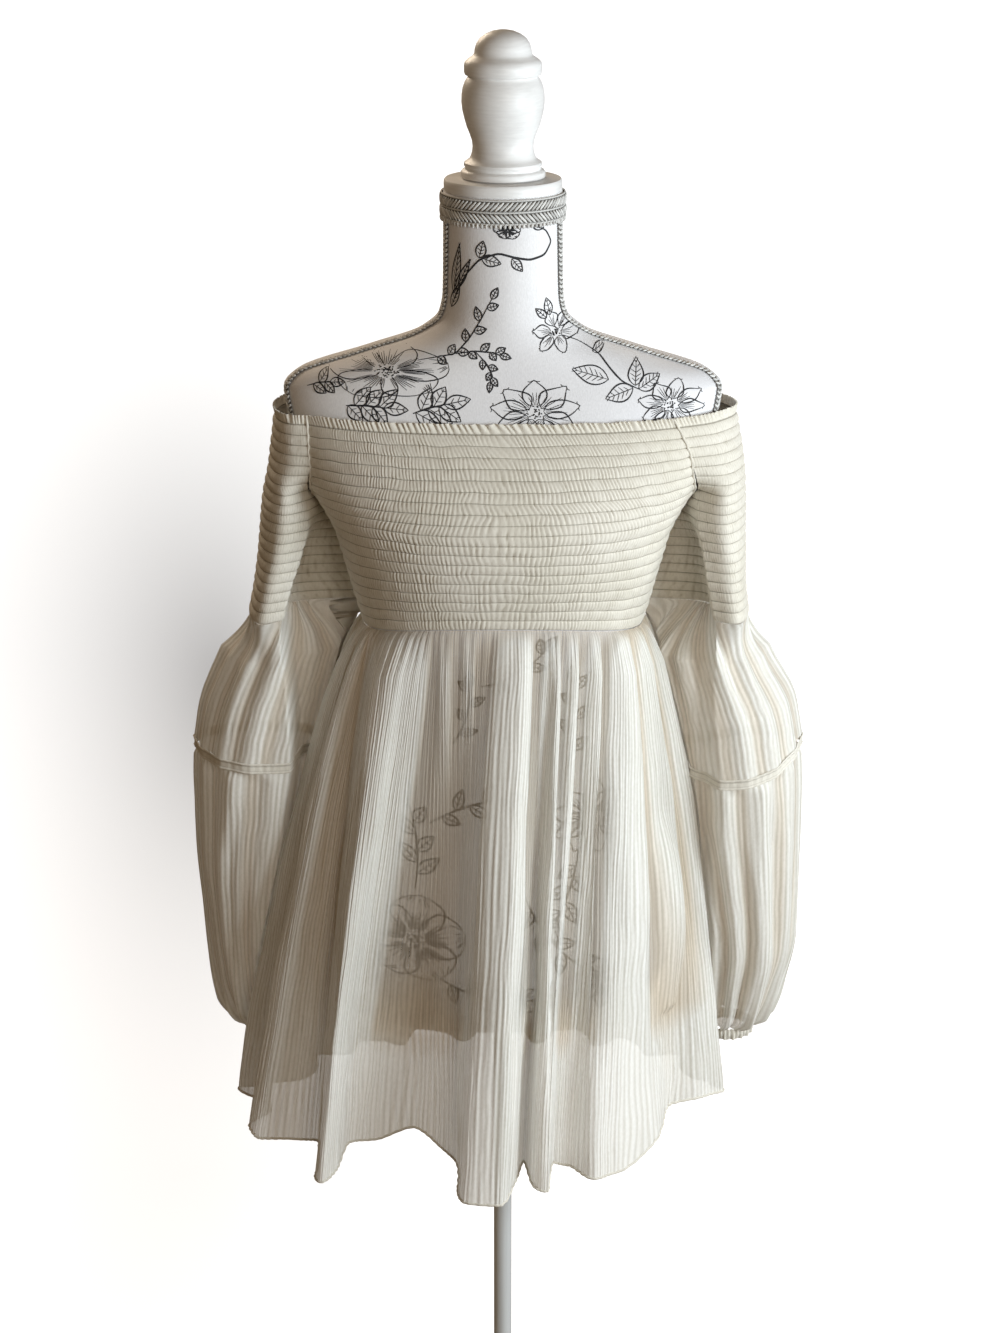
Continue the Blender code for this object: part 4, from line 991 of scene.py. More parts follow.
# Raglan seams: the joined edges of panels and sleeves stand up as a thin pale ridge of the same
# shirred cotton, from the neck edge to the armhole.
def round_edge(name, line, radius, finish):
    """A round rolled edge along a line of points, as one mesh."""
    run = np.gradient(line, axis=0)
    run /= np.linalg.norm(run, axis=1, keepdims=True) + 1e-12
    least = (0.0, 1.0, 0.0) if np.abs(run[:, 2]).mean() > 0.7 else (0.0, 0.0, 1.0)
    aside = np.cross(run, least)
    aside /= np.linalg.norm(aside, axis=1, keepdims=True) + 1e-12
    up = np.cross(aside, run)
    rings = []
    for k in range(8):
        turn = 2 * math.pi * k / 8
        rings.append(line + aside * math.cos(turn) * radius + up * math.sin(turn) * radius)
    count = len(line)
    faces = []
    for k in range(8):
        after = (k + 1) % 8
        for i in range(count - 1):
            faces.append((k * count + i, k * count + i + 1, after * count + i + 1, after * count + i))
    faces.append(tuple(k * count for k in range(8)))
    faces.append(tuple(k * count + count - 1 for k in range(8)))
    mesh = bpy.data.meshes.new(name)
    mesh.from_pydata([tuple(point) for point in np.concatenate(rings)], [], faces)
    facing = bmesh.new()
    facing.from_mesh(mesh)
    bmesh.ops.recalc_face_normals(facing, faces=facing.faces)
    facing.to_mesh(mesh)
    facing.free()
    mesh.polygons.foreach_set("use_smooth", np.ones(len(mesh.polygons), bool))
    edge = bpy.data.objects.new(name, mesh)
    bpy.context.scene.collection.objects.link(edge)
    edge.data.materials.append(finish)
    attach(edge, "root")
    return edge


for label, side, column, back in (
    ("front_left", -1, 1, False), ("front_right", 1, 2, False),
    ("back_left", -1, 3, True), ("back_right", 1, 3, True),
):
    heights = np.linspace(NECK_EDGE_Z - 0.001, 1.0165, 90)
    seam = np.radians(smooth(RAGLAN_SEAMS[:, 0], RAGLAN_SEAMS[:, column], heights)) - 0.0015
    angle = seam if back else -seam
    proud = 0.0022 + 0.0006 * np.sin(np.pi * (FIRST_STITCH_Z - heights) / BAND_PITCH) ** 2
    ridge = torso_surface(heights, angle, CLEAR_OF_FORM + proud) * (side, 1.0, 1.0)
    round_edge("raglan_seam_" + label, ridge, 0.0012, smock_finish)

# Skirt: two panels of sheer crinkled cloth gathered to the underbust seam, falling in deep
# uneven flutes to a narrow rolled hem. The print on the form shows faintly through it.

# Angle at the waist in degrees, hem x, hem y, hem height
FRONT_FOLDS = np.array([
    (180.3, -0.2390, -0.0030, 0.410), (187.0, -0.2580, -0.0160, 0.413), (193.0, -0.2375, -0.0360, 0.411),
    (198.0, -0.2250, -0.0540, 0.408), (203.0, -0.2415, -0.0780, 0.404), (207.0, -0.2325, -0.0920, 0.397),
    (212.0, -0.2005, -0.0880, 0.394), (217.0, -0.1780, -0.0870, 0.391), (221.0, -0.1760, -0.1300, 0.383),
    (226.0, -0.1670, -0.1530, 0.384), (235.0, -0.1510, -0.1290, 0.385), (240.0, -0.1440, -0.0900, 0.392),
    (243.0, -0.1210, -0.0920, 0.395), (247.0, -0.0820, -0.1040, 0.415), (251.0, -0.0600, -0.1150, 0.400),
    (258.0, -0.0440, -0.1200, 0.388), (263.0, -0.0410, -0.1650, 0.383), (267.5, -0.0360, -0.1960, 0.386),
    (275.0, -0.0030, -0.2030, 0.387), (281.5, 0.0120, -0.1600, 0.387), (284.5, 0.0200, -0.1180, 0.386),
    (288.0, 0.0270, -0.1630, 0.385), (294.0, 0.0420, -0.1760, 0.385), (299.0, 0.0480, -0.1200, 0.386),
    (304.0, 0.0620, -0.1230, 0.384), (311.0, 0.0863, -0.1490, 0.384), (318.5, 0.1080, -0.1360, 0.384),
    (328.0, 0.1480, -0.0800, 0.394), (335.0, 0.1600, -0.0350, 0.404), (343.0, 0.1940, -0.0280, 0.409),
    (351.0, 0.2155, -0.0120, 0.408), (359.7, 0.2050, 0.0040, 0.408),
])
BACK_FOLDS = np.array([
    (0.3, 0.2050, 0.0070, 0.408), (8.0, 0.1860, 0.0300, 0.404), (16.0, 0.1760, 0.0620, 0.399),
    (24.0, 0.1900, 0.0900, 0.394), (31.0, 0.1800, 0.1080, 0.390), (38.0, 0.1480, 0.1060, 0.390),
    (44.0, 0.1380, 0.1420, 0.386), (51.0, 0.1200, 0.1560, 0.386), (58.0, 0.0960, 0.1280, 0.390),
    (66.0, 0.0820, 0.1720, 0.385), (73.0, 0.0560, 0.1840, 0.385), (80.0, 0.0360, 0.1360, 0.390),
    (88.0, 0.0160, 0.1780, 0.386), (95.0, -0.0160, 0.1900, 0.385), (102.0, -0.0380, 0.1400, 0.390),
    (110.0, -0.0580, 0.1680, 0.386), (117.0, -0.0880, 0.1760, 0.386), (124.0, -0.1020, 0.1300, 0.390),
    (131.0, -0.1240, 0.1500, 0.387), (138.0, -0.1480, 0.1420, 0.388), (145.0, -0.1540, 0.1040, 0.392),
    (152.0, -0.1820, 0.1020, 0.394), (160.0, -0.1920, 0.0800, 0.398), (167.0, -0.1860, 0.0520, 0.402),
    (173.0, -0.1980, 0.0200, 0.406), (179.7, -0.2390, -0.0010, 0.410),
])
# Flutes below the waist seam: first and last angle at the seam and at the hem in degrees,
# height, share of the length they reach
FRONT_FLUTES = [
    (186.0, 198.0, 187.0, 198.0, 0.0080, 0.45), (200.0, 208.5, 201.0, 209.0, 0.0070, 0.50),
    (211.0, 245.5, 221.5, 240.6, 0.0125, 1.00), (247.5, 253.5, 247.5, 252.5, 0.0050, 0.16),
    (256.0, 262.5, 256.0, 261.5, 0.0055, 0.20), (267.2, 279.4, 264.3, 280.4, 0.0125, 0.95),
    (281.6, 289.6, 285.6, 293.0, 0.0100, 0.90), (290.8, 297.0, 294.5, 299.0, 0.0085, 0.45),
    (300.5, 307.5, 302.0, 308.5, 0.0095, 0.70), (311.0, 327.0, 311.0, 327.0, 0.0105, 0.75),
    (329.0, 341.0, 329.0, 341.0, 0.0085, 0.55), (344.0, 355.0, 344.0, 355.0, 0.0080, 0.60),
]
BACK_FLUTES = [
    (5.0, 14.0, 6.0, 14.0, 0.0080, 0.55), (16.0, 28.0, 17.0, 27.0, 0.0090, 0.60),
    (31.0, 40.0, 32.0, 40.0, 0.0080, 0.50),
    (43.0, 55.0, 42.0, 55.0, 0.0110, 0.75), (59.0, 66.0, 60.0, 66.0, 0.0070, 0.40),
    (68.0, 77.0, 66.0, 77.0, 0.0100, 0.80),
    (81.0, 92.0, 83.0, 93.0, 0.0110, 0.75), (94.0, 100.0, 95.0, 101.0, 0.0080, 0.60),
    (104.0, 115.0, 106.0, 114.0, 0.0105, 0.80),
    (117.0, 124.0, 117.0, 124.0, 0.0080, 0.45), (127.0, 139.0, 129.0, 141.0, 0.0100, 0.65),
    (142.0, 150.0, 143.0, 150.0, 0.0085, 0.60), (153.0, 164.0, 153.0, 164.0, 0.0080, 0.50),
    (166.0, 175.0, 166.0, 175.0, 0.0080, 0.55),
]


def cover_radius(z, bearing):
    """Distance from the axis to the cover along a bearing."""
    half, front, back, square = (smooth(TORSO_SECTIONS[:, 0], TORSO_SECTIONS[:, k], z) for k in (1, 2, 3, 4))
    depth = np.where(np.sin(bearing) > 0, back, front)
    across = (np.abs(np.cos(bearing)) / half) ** square
    along = (np.abs(np.sin(bearing)) / depth) ** square
    return (across + along) ** (-1 / square)


def flute_rise(flutes, angle, down):
    """Height of the flutes over the gaps between them, with a soft left flank and a steep right one."""
    rise = np.zeros_like(angle)
    for first_top, last_top, first_foot, last_foot, height, reach in flutes:
        start = first_top + (first_foot - first_top) * down
        stop = last_top + (last_foot - last_top) * down
        across = np.clip((np.degrees(angle) - start) / (stop - start), 0.0, 1.0)
        bow = np.sin(np.pi * across ** 1.35) ** 0.55
        window = np.clip(down / 0.075, 0.0, 1.0) ** 0.7 * np.clip((reach + 0.25 - down) / 0.5, 0.0, 1.0)
        rise = np.maximum(rise, height * bow * window)
    return rise


def skirt_shape(folds, flutes, u, down, gathers, seed):
    """Smooth folded shape of a skirt panel at shares across and down, and how far each point stands out, low
    in the gaps between flutes where the finish paints shade.
    """
    place = np.arange(len(folds))
    at = np.clip(u, 0.0, 1.0) * (len(folds) - 1)
    angle = np.radians(smooth(place, folds[:, 0], at))
    hem = np.stack([smooth(place, folds[:, k], at) for k in (1, 2, 3)], axis=-1)
    height = WAIST_SEAM_Z - 0.0003 - SIDE_SAG * np.cos(angle) ** 2
    top = torso_surface(height, angle, CLEAR_OF_FORM + 0.0020)
    point = top + (hem - top) * down[..., None]
    puff = np.abs(np.sin(np.pi * u * gathers + 0.9 * wander(u, u * 0, 18, 1, seed)))
    rise = flute_rise(flutes, angle, down)
    tuck = 0.0022 * puff * np.clip(down / 0.01, 0.0, 1.0) * np.exp(-down / 0.06)
    bearing = np.arctan2(point[..., 1], point[..., 0])
    radius = np.hypot(point[..., 0], point[..., 1])
    near = np.clip(down / 0.1, 0.0, 1.0)
    keep = cover_radius(np.maximum(point[..., 2], FORM_FOOT_Z), bearing) + CLEAR_OF_FORM + 0.0020 * near
    keep = keep - 0.03 * np.clip((FORM_FOOT_Z - point[..., 2]) / 0.03, 0.0, 1.0)
    over = radius - keep
    radius = np.where(down > 0.01, keep + 0.5 * (over + np.sqrt(over ** 2 + 0.0015 ** 2)), radius)
    flare = np.where(np.cos(bearing) < 0, 0.020, 0.013) * np.abs(np.cos(bearing)) ** 5
    radius = radius + rise + tuck + flare * np.abs(np.sin(np.pi * np.clip(down, 0.0, 1.0) ** 0.75)) ** 0.8
    stands_out = np.clip(rise / 0.007 + np.clip(over / 0.05, 0.0, 1.0) * down, 0.0, 1.0)
    return np.stack([radius * np.cos(bearing), radius * np.sin(bearing), point[..., 2]], axis=-1), stands_out


def skirt_cloth(folds, flutes, gathers, ribs, seed):
    """Function that wraps a grid into one crinkled skirt panel."""
    def place(u, v):
        down = 1 - v
        here, stands_out = skirt_shape(folds, flutes, u, down, gathers, seed)
        ahead, _ = skirt_shape(folds, flutes, np.minimum(u + 0.0008, 1.0), down, gathers, seed)
        before, _ = skirt_shape(folds, flutes, np.maximum(u - 0.0008, 0.0), down, gathers, seed)
        lower, _ = skirt_shape(folds, flutes, u, np.minimum(down + 0.002, 1.0), gathers, seed)
        upper, _ = skirt_shape(folds, flutes, u, np.maximum(down - 0.002, 0.0), gathers, seed)
        way = np.cross(lower - upper, ahead - before)
        way /= np.linalg.norm(way, axis=1, keepdims=True) + 1e-12
        rib = np.cos(2 * np.pi * u * ribs + 2.0 * wander(u, down, 60, 9, seed + 2))
        strength = 0.55 + 0.45 * wander(u, down, 90, 26, seed + 3)
        size = 0.00026 + 0.00036 * np.clip(down * 2.5, 0.0, 1.0)
        drift = 0.0022 * wander(u, down, 40, 6, seed + 4) * np.clip(down * 3, 0.0, 1.0)
        points = here + way * (size * rib * strength + drift)[:, None]
        crinkle = 2 * np.pi * (u * ribs * 1.65 + 0.35 * wander(u, down, 80, 14, seed + 5))
        beyond = np.abs(here[:, 0]) - smooth(TORSO_SECTIONS[:, 0], TORSO_SECTIONS[:, 1], here[:, 2]) + 0.025
        low_veil = np.clip((down - 0.66) / 0.08, 0.0, 1.0) * 0.85
        veil = stands_out + low_veil + np.clip(beyond / 0.02, 0.0, 1.0) * 0.85
        veil = np.clip(veil, 0.0, 1.0)
        rib_crests = 0.5 + 0.5 * rib * strength
        return points, {"rib": rib_crests, "stands_out": stands_out, "veil": veil, "crinkle": crinkle}
    return place


def sheer_finish(name, thin, veil_low, veil_high):
    """Sheer crinkled cloth: light comes through it, most where it lies flat between the flutes; painted shade
    darkens its gaps between flutes, crinkle lines and rib troughs.
    """
    finish, tree, shader, coords = new_finish(name)
    readings = []
    for label in ("rib", "stands_out", "veil", "crinkle"):
        reading = tree.nodes.new("ShaderNodeAttribute")
        reading.attribute_name = label
        readings.append(reading.outputs["Fac"])
    rib, out, veil, crinkle = readings
    wave = tree.nodes.new("ShaderNodeMath")
    wave.operation = "SINE"
    tree.links.new(crinkle, wave.inputs[0])
    lines = tree.nodes.new("ShaderNodeMath")
    lines.operation = "MULTIPLY_ADD"
    lines.inputs[1].default_value = 0.5
    lines.inputs[2].default_value = 0.5
    tree.links.new(wave.outputs[0], lines.inputs[0])
    crepe = speckle(tree, coords, 420.0, 3.0, (1.0, 1.0, 0.6))
    cloud = speckle(tree, coords, 11.0, 3.0)
    # Painted shade and highlight: darker in the rib troughs and lighter on the rib crests.
    tint = blend_of(tree, rib, (0.90, 0.885, 0.83), (1.0, 0.995, 0.965), 0.1, 0.9)
    fine = blend_of(tree, crepe, (0.93, 0.925, 0.91), (1.0, 1.0, 1.0), 0.3, 0.65)
    aged = blend_of(tree, cloud, (0.96, 0.955, 0.94), (1.0, 1.0, 1.0), 0.35, 0.65)
    # Painted shade: darker lines along the crinkle furrows, which the bump also follows.
    crinkle_shade = blend_of(tree, lines.outputs[0], (0.80, 0.785, 0.755), (1.0, 1.0, 1.0), 0.0, 0.75)
    # Painted shade: darker and warmer where the cloth stands out least, in the gaps between the skirt's
    # flutes and in the sleeves' fold troughs and set-back body side.
    deep = blend_of(tree, out, (0.80, 0.70, 0.585), (1.0, 1.0, 1.0), 0.0, 0.6)
    colour = multiplied(tree, multiplied(tree, tint, fine), multiplied(tree, aged, crinkle_shade))
    colour = multiplied(tree, colour, deep)
    tree.links.new(colour, shader.inputs["Base Color"])
    tree.links.new(blend_of(tree, crepe, (0.62, 0.62, 0.62), (0.82, 0.82, 0.82)), shader.inputs["Roughness"])
    shader.inputs["Sheen Weight"].default_value = 0.12
    height = tree.nodes.new("ShaderNodeMath")
    height.operation = "MULTIPLY_ADD"
    height.inputs[1].default_value = 0.4
    tree.links.new(crepe, height.inputs[0])
    tree.links.new(lines.outputs[0], height.inputs[2])
    relief(tree, shader, height.outputs[0], 0.55, 0.0006)
    glow = tree.nodes.new("ShaderNodeBsdfTranslucent")
    tree.links.new(colour, glow.inputs["Color"])
    cloth = tree.nodes.new("ShaderNodeMixShader")
    cloth.inputs[0].default_value = thin
    tree.links.new(shader.outputs[0], cloth.inputs[1])
    tree.links.new(glow.outputs[0], cloth.inputs[2])
    clear = tree.nodes.new("ShaderNodeBsdfTransparent")
    cover = blend_of(tree, veil, (veil_low,) * 3, (veil_high,) * 3)
    crests = blend_of(tree, rib, (0.90,) * 3, (1.0,) * 3, 0.2, 0.8)
    sheer = tree.nodes.new("ShaderNodeMixShader")
    tree.links.new(multiplied(tree, cover, crests), sheer.inputs[0])
    tree.links.new(clear.outputs[0], sheer.inputs[1])
    tree.links.new(cloth.outputs[0], sheer.inputs[2])
    tree.links.new(sheer.outputs[0], tree.nodes["Material Output"].inputs["Surface"])
    return finish


skirt_panels = []
skirt_sheer = sheer_finish("sheer_skirt_crepe", 0.12, 0.44, 0.95)
for label, folds, flutes, columns, rows, gathers, ribs, seed, flat in (
    ("front", FRONT_FOLDS, FRONT_FLUTES, 660, 130, 44, 140, 400, (0.80, 0.55)),
    ("back", BACK_FOLDS, BACK_FLUTES, 560, 120, 40, 130, 500, (0.72, 0.55)),
):
    cloth = skirt_cloth(folds, flutes, gathers, ribs, seed)
    panel = wrapped_grid("skirt_%s_sheer" % label, columns, rows, cloth)
    panel.data.materials.append(skirt_sheer)
    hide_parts("skirt_" + label)
    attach(panel, "root")
    across = np.linspace(0.0, 1.0, columns + 1)
    hem_line, _ = cloth(across, across * 0)
    skirt_panels.append(panel)
    hem = round_edge("skirt_%s_hem" % label, hem_line, 0.0012, smock_finish)

# Lower sleeves: a sheer crinkled tier gathered onto the smocking, a narrow folded band at
# its foot, a full balloon below and a small elastic cuff with a gathered edge.

# Height, outer x, body side x, centre y, half depth front, half depth back, ripple
TIERS = {
    -1: np.array([
        (0.7640, 0.2910, 0.1580, 0.016, 0.068, 0.046, 0.0020),
        (0.8000, 0.2845, 0.1480, 0.018, 0.070, 0.044, 0.0026),
        (0.8450, 0.2660, 0.1380, 0.022, 0.069, 0.040, 0.0026),
        (0.8800, 0.2470, 0.1300, 0.028, 0.069, 0.034, 0.0022),
        (0.8998, 0.2385, 0.1290, 0.030, 0.066, 0.030, 0.0014),
    ]),
    1: np.array([
        (0.7530, 0.2820, 0.1530, 0.016, 0.074, 0.046, 0.0026),
        (0.8000, 0.2740, 0.1460, 0.018, 0.075, 0.044, 0.0030),
        (0.8450, 0.2520, 0.1370, 0.022, 0.070, 0.040, 0.0028),
        (0.8800, 0.2370, 0.1300, 0.028, 0.069, 0.034, 0.0022),
        (0.8998, 0.2320, 0.1290, 0.030, 0.066, 0.030, 0.0014),
    ]),
}
BALLOONS = {
    -1: np.array([
        (0.4560, 0.2510, 0.1990, 0.052, 0.026, 0.026, 0.0010),
        (0.4640, 0.2650, 0.1965, 0.050, 0.034, 0.032, 0.0026),
        (0.4800, 0.2760, 0.2000, 0.050, 0.040, 0.040, 0.0028),
        (0.5200, 0.2836, 0.1980, 0.044, 0.048, 0.044, 0.0028),
        (0.5890, 0.2890, 0.1900, 0.036, 0.060, 0.044, 0.0026),
        (0.6560, 0.2925, 0.1760, 0.026, 0.065, 0.045, 0.0024),
        (0.7200, 0.2920, 0.1630, 0.020, 0.069, 0.044, 0.0020),
        (0.7556, 0.2900, 0.1580, 0.016, 0.067, 0.045, 0.0016),
    ]),
    1: np.array([
        (0.4560, 0.2470, 0.1970, 0.052, 0.026, 0.026, 0.0010),
        (0.4640, 0.2600, 0.1940, 0.050, 0.034, 0.032, 0.0026),
        (0.5020, 0.2735, 0.1890, 0.046, 0.047, 0.041, 0.0030),
        (0.5550, 0.2835, 0.1860, 0.040, 0.058, 0.044, 0.0030),
        (0.6410, 0.2840, 0.1700, 0.028, 0.066, 0.045, 0.0026),
        (0.7000, 0.2830, 0.1580, 0.020, 0.071, 0.045, 0.0022),
        (0.7446, 0.2800, 0.1540, 0.016, 0.073, 0.045, 0.0016),
    ]),
}

# Long soft creases: place round the sleeve, width, depth, top share, foot share
CREASES = {
    -1: [(0.62, 0.020, 0.0050, 0.05, 0.95), (0.70, 0.014, 0.0042, 0.30, 1.0),
         (0.80, 0.018, 0.0048, 0.10, 0.8),
         (0.55, 0.012, 0.0036, 0.45, 1.0), (0.90, 0.016, 0.0040, 0.35, 1.0), (0.12, 0.018, 0.0044, 0.2, 0.9),
         (0.25, 0.014, 0.0036, 0.0, 0.6), (0.38, 0.018, 0.0046, 0.3, 1.0)],
    1: [(0.66, 0.018, 0.0046, 0.05, 0.9), (0.74, 0.014, 0.0050, 0.20, 1.0), (0.83, 0.020, 0.0052, 0.05, 0.75),
        (0.58, 0.014, 0.0038, 0.40, 1.0), (0.93, 0.014, 0.0040, 0.30, 1.0), (0.10, 0.018, 0.0044, 0.1, 0.85),
        (0.22, 0.016, 0.0040, 0.25, 1.0), (0.40, 0.016, 0.0042, 0.1, 0.8)],
}


def sewn_reach(side):
    """Distances from the middle of the smocked foot to its edge, by angle."""
    ring, _ = sleeve_ring(side, SLEEVE_FOOT_Z, 120, 60)
    middle = np.array([0.207 if side < 0 else 0.199, 0.022])
    away = ring - middle
    angle = np.arctan2(away[:, 1], away[:, 0])
    order = np.argsort(angle)
    angle = angle[order]
    radius = np.linalg.norm(away, axis=1)[order]
    wrapped = np.concatenate([angle - 2 * np.pi, angle, angle + 2 * np.pi])
    return middle, wrapped, np.tile(radius, 3)


def beside_skirt(side):
    """Outermost reach of the finished skirt on one side, by height and depth in steps of 5 mm."""
    reach = np.zeros((104, 48))
    for panel in skirt_panels:
        points = np.empty(len(panel.data.vertices) * 3)
        panel.data.vertices.foreach_get("co", points)
        points = points.reshape(-1, 3)
        points = points[points[:, 0] * side > 0.10]
        row = np.rint((points[:, 2] - 0.40) / 0.005).astype(int)
        column = np.rint((points[:, 1] + 0.11) / 0.005).astype(int)
        known = (row >= 0) & (row < 104) & (column >= 0) & (column < 48)
        np.maximum.at(reach, (row[known], column[known]), points[known, 0] * side)
    reach = np.maximum(reach, np.maximum(np.roll(reach, 1, 1), np.roll(reach, -1, 1)))
    for axis in (1, 0, 1):
        reach = (np.roll(reach, 1, axis) + 2 * reach + np.roll(reach, -1, axis)) / 4
    return reach


def reach_at(reach, z, y):
    """Reach of the skirt at heights and depths."""
    row = np.clip((z - 0.40) / 0.005, 0.0, 102.999)
    column = np.clip((y + 0.11) / 0.005, 0.0, 46.999)
    i = row.astype(int)
    j = column.astype(int)
    fi = row - i
    fj = column - j
    low = reach[i, j] * (1 - fj) + reach[i, j + 1] * fj
    high = reach[i + 1, j] * (1 - fj) + reach[i + 1, j + 1] * fj
    return low * (1 - fi) + high * fi


# Height and distance from the middle of the long fold behind which the body side sets back
INNER_FOLDS = {
    -1: np.array([
        (0.456, 0.252), (0.520, 0.240), (0.630, 0.219), (0.720, 0.205), (0.764, 0.199), (0.900, 0.2045),
    ]),
    1: np.array([
        (0.456, 0.200), (0.560, 0.204), (0.700, 0.206), (0.753, 0.204), (0.840, 0.196), (0.900, 0.196),
    ]),
}
FOLD_DEPTHS = {-1: (0.044, 0.009), 1: (0.020, 0.016)}


# Rise of the folded band at its outer side, and its drop at the front
SLANTS = {-1: (0.003, 0.003), 1: (0.016, 0.009)}


def band_slant(side, angle, z):
    """How far the cloth near the folded band stands above or below a level ring."""
    rise, drop = SLANTS[side]
    slope = rise * (0.5 + 0.5 * np.cos(angle)) ** 2 - drop * np.clip(-np.sin(angle), 0.0, 1.0) ** 2
    band_z = TIERS[side][0, 0]
    return slope * np.clip(1 - (z - band_z) / 0.115, 0.0, 1.0) * np.clip(1 - (band_z - z) / 0.20, 0.0, 1.0)


def full_sleeve(side, table, gathers, ribs, seed, sewn=None, creased=True, gather_top=1.0, gather_foot=1.0):
    """Function that wraps a grid into a full sheer sleeve between the table's heights."""
    beside = SKIRT_REACH[side]
    top = float(table[-1, 0])
    foot = float(table[0, 0])

    def place(u, v):
        u = np.where(u > 0.999999, 0.0, u)
        z = foot + (top - foot) * v
        outer_x, body_x, centre_y, front, back, ripple = (
            smooth(table[:, 0], table[:, k], z) for k in range(1, 7))
        angle = 2 * np.pi * u
        down = 1 - v
        ends = np.sin(np.pi * u)
        turn = np.cos(angle * gathers + 1.2 * wander(u, v * 0, 20, 1, seed) * ends)
        broad = np.cos(angle * (gathers // 2) + 2.0 * wander(u, v * 0, 9, 1, seed + 6) * ends)
        pull = gather_top * np.exp(-down / 0.20) + gather_foot * np.exp(-v / 0.12)
        spread = gather_top * np.exp(-down / 0.55) + gather_foot * np.exp(-v / 0.30) + 0.12
        seam = np.clip(down / 0.03, 0.2, 1.0)
        side_waves = ripple * 0.6 * turn * pull + 0.0034 * broad * spread
        swell = seam * (side_waves + ripple * 0.45 * np.sin(5 * angle + 0.9))
        if creased:
            for place_u, width, depth, start, stop in CREASES[side]:
                middle = u - place_u - 0.02 * np.sin(3 * down)
                window = np.clip((down - start) / 0.2, 0, 1) * np.clip((stop - down) / 0.2 + 0.2, 0, 1)
                swell = swell - depth * np.exp(-((middle / width) ** 2)) * window
                swell = swell + depth * 0.5 * np.exp(-(((middle - 2 * width) / width) ** 2)) * window
        rib = np.cos(angle * ribs + 1.6 * wander(u, v, 24, 8, seed + 3) * ends)
        strength = 0.6 + 0.4 * wander(u, v, 30, 16, seed + 4)
        swell = swell + 0.00032 * rib * strength
        depth = np.where(np.sin(angle) < 0, front, back)
        x = (outer_x + body_x) / 2 + ((outer_x - body_x) / 2 + swell) * np.cos(angle)
        y = centre_y + (depth + swell) * np.sin(angle)
        setback, soft = FOLD_DEPTHS[side]
        behind = np.clip((smooth(INNER_FOLDS[side][:, 0], INNER_FOLDS[side][:, 1], z) - x) / soft, 0.0, 1.0)
        behind = behind * behind * (3 - 2 * behind) * np.clip(-np.sin(angle) * 3, 0.0, 1.0)
        y = y + setback * behind
        if sewn is not None:
            middle, angles, radii = sewn
            heading = np.arctan2(y - middle[1], x - middle[0])
            radius = np.interp(heading, angles, radii) + 0.0016 + 0.0012 * turn
            weight = np.clip(1 - (top - z) / 0.045, 0.0, 1.0)
            x = x + (middle[0] + radius * np.cos(heading) - x) * weight
            y = y + (middle[1] + radius * np.sin(heading) - y) * weight
        clear_of = reach_at(beside, z, y) + 0.0022
        x = clear_of + 0.5 * ((x - clear_of) + np.sqrt((x - clear_of) ** 2 + 0.0015 ** 2))
        points = np.stack([side * x, y, z + band_slant(side, angle, z)], axis=1)
        crinkle = ribs * 1.30 * angle + 2.2 * wander(u, v, 30, 12, seed + 5) * ends
        # Painted shade: darker in the troughs of the broad folds and on the body side set back behind the
        # long fold; the same value lets more light through there.
        out = np.clip(0.62 + 0.38 * broad, 0.0, 1.0) * (1 - 0.55 * behind)
        return points, {"rib": 0.5 + 0.5 * rib * strength, "stands_out": out, "veil": out, "crinkle": crinkle}
    return place


SKIRT_REACH = {side: beside_skirt(side) for side in (-1, 1)}


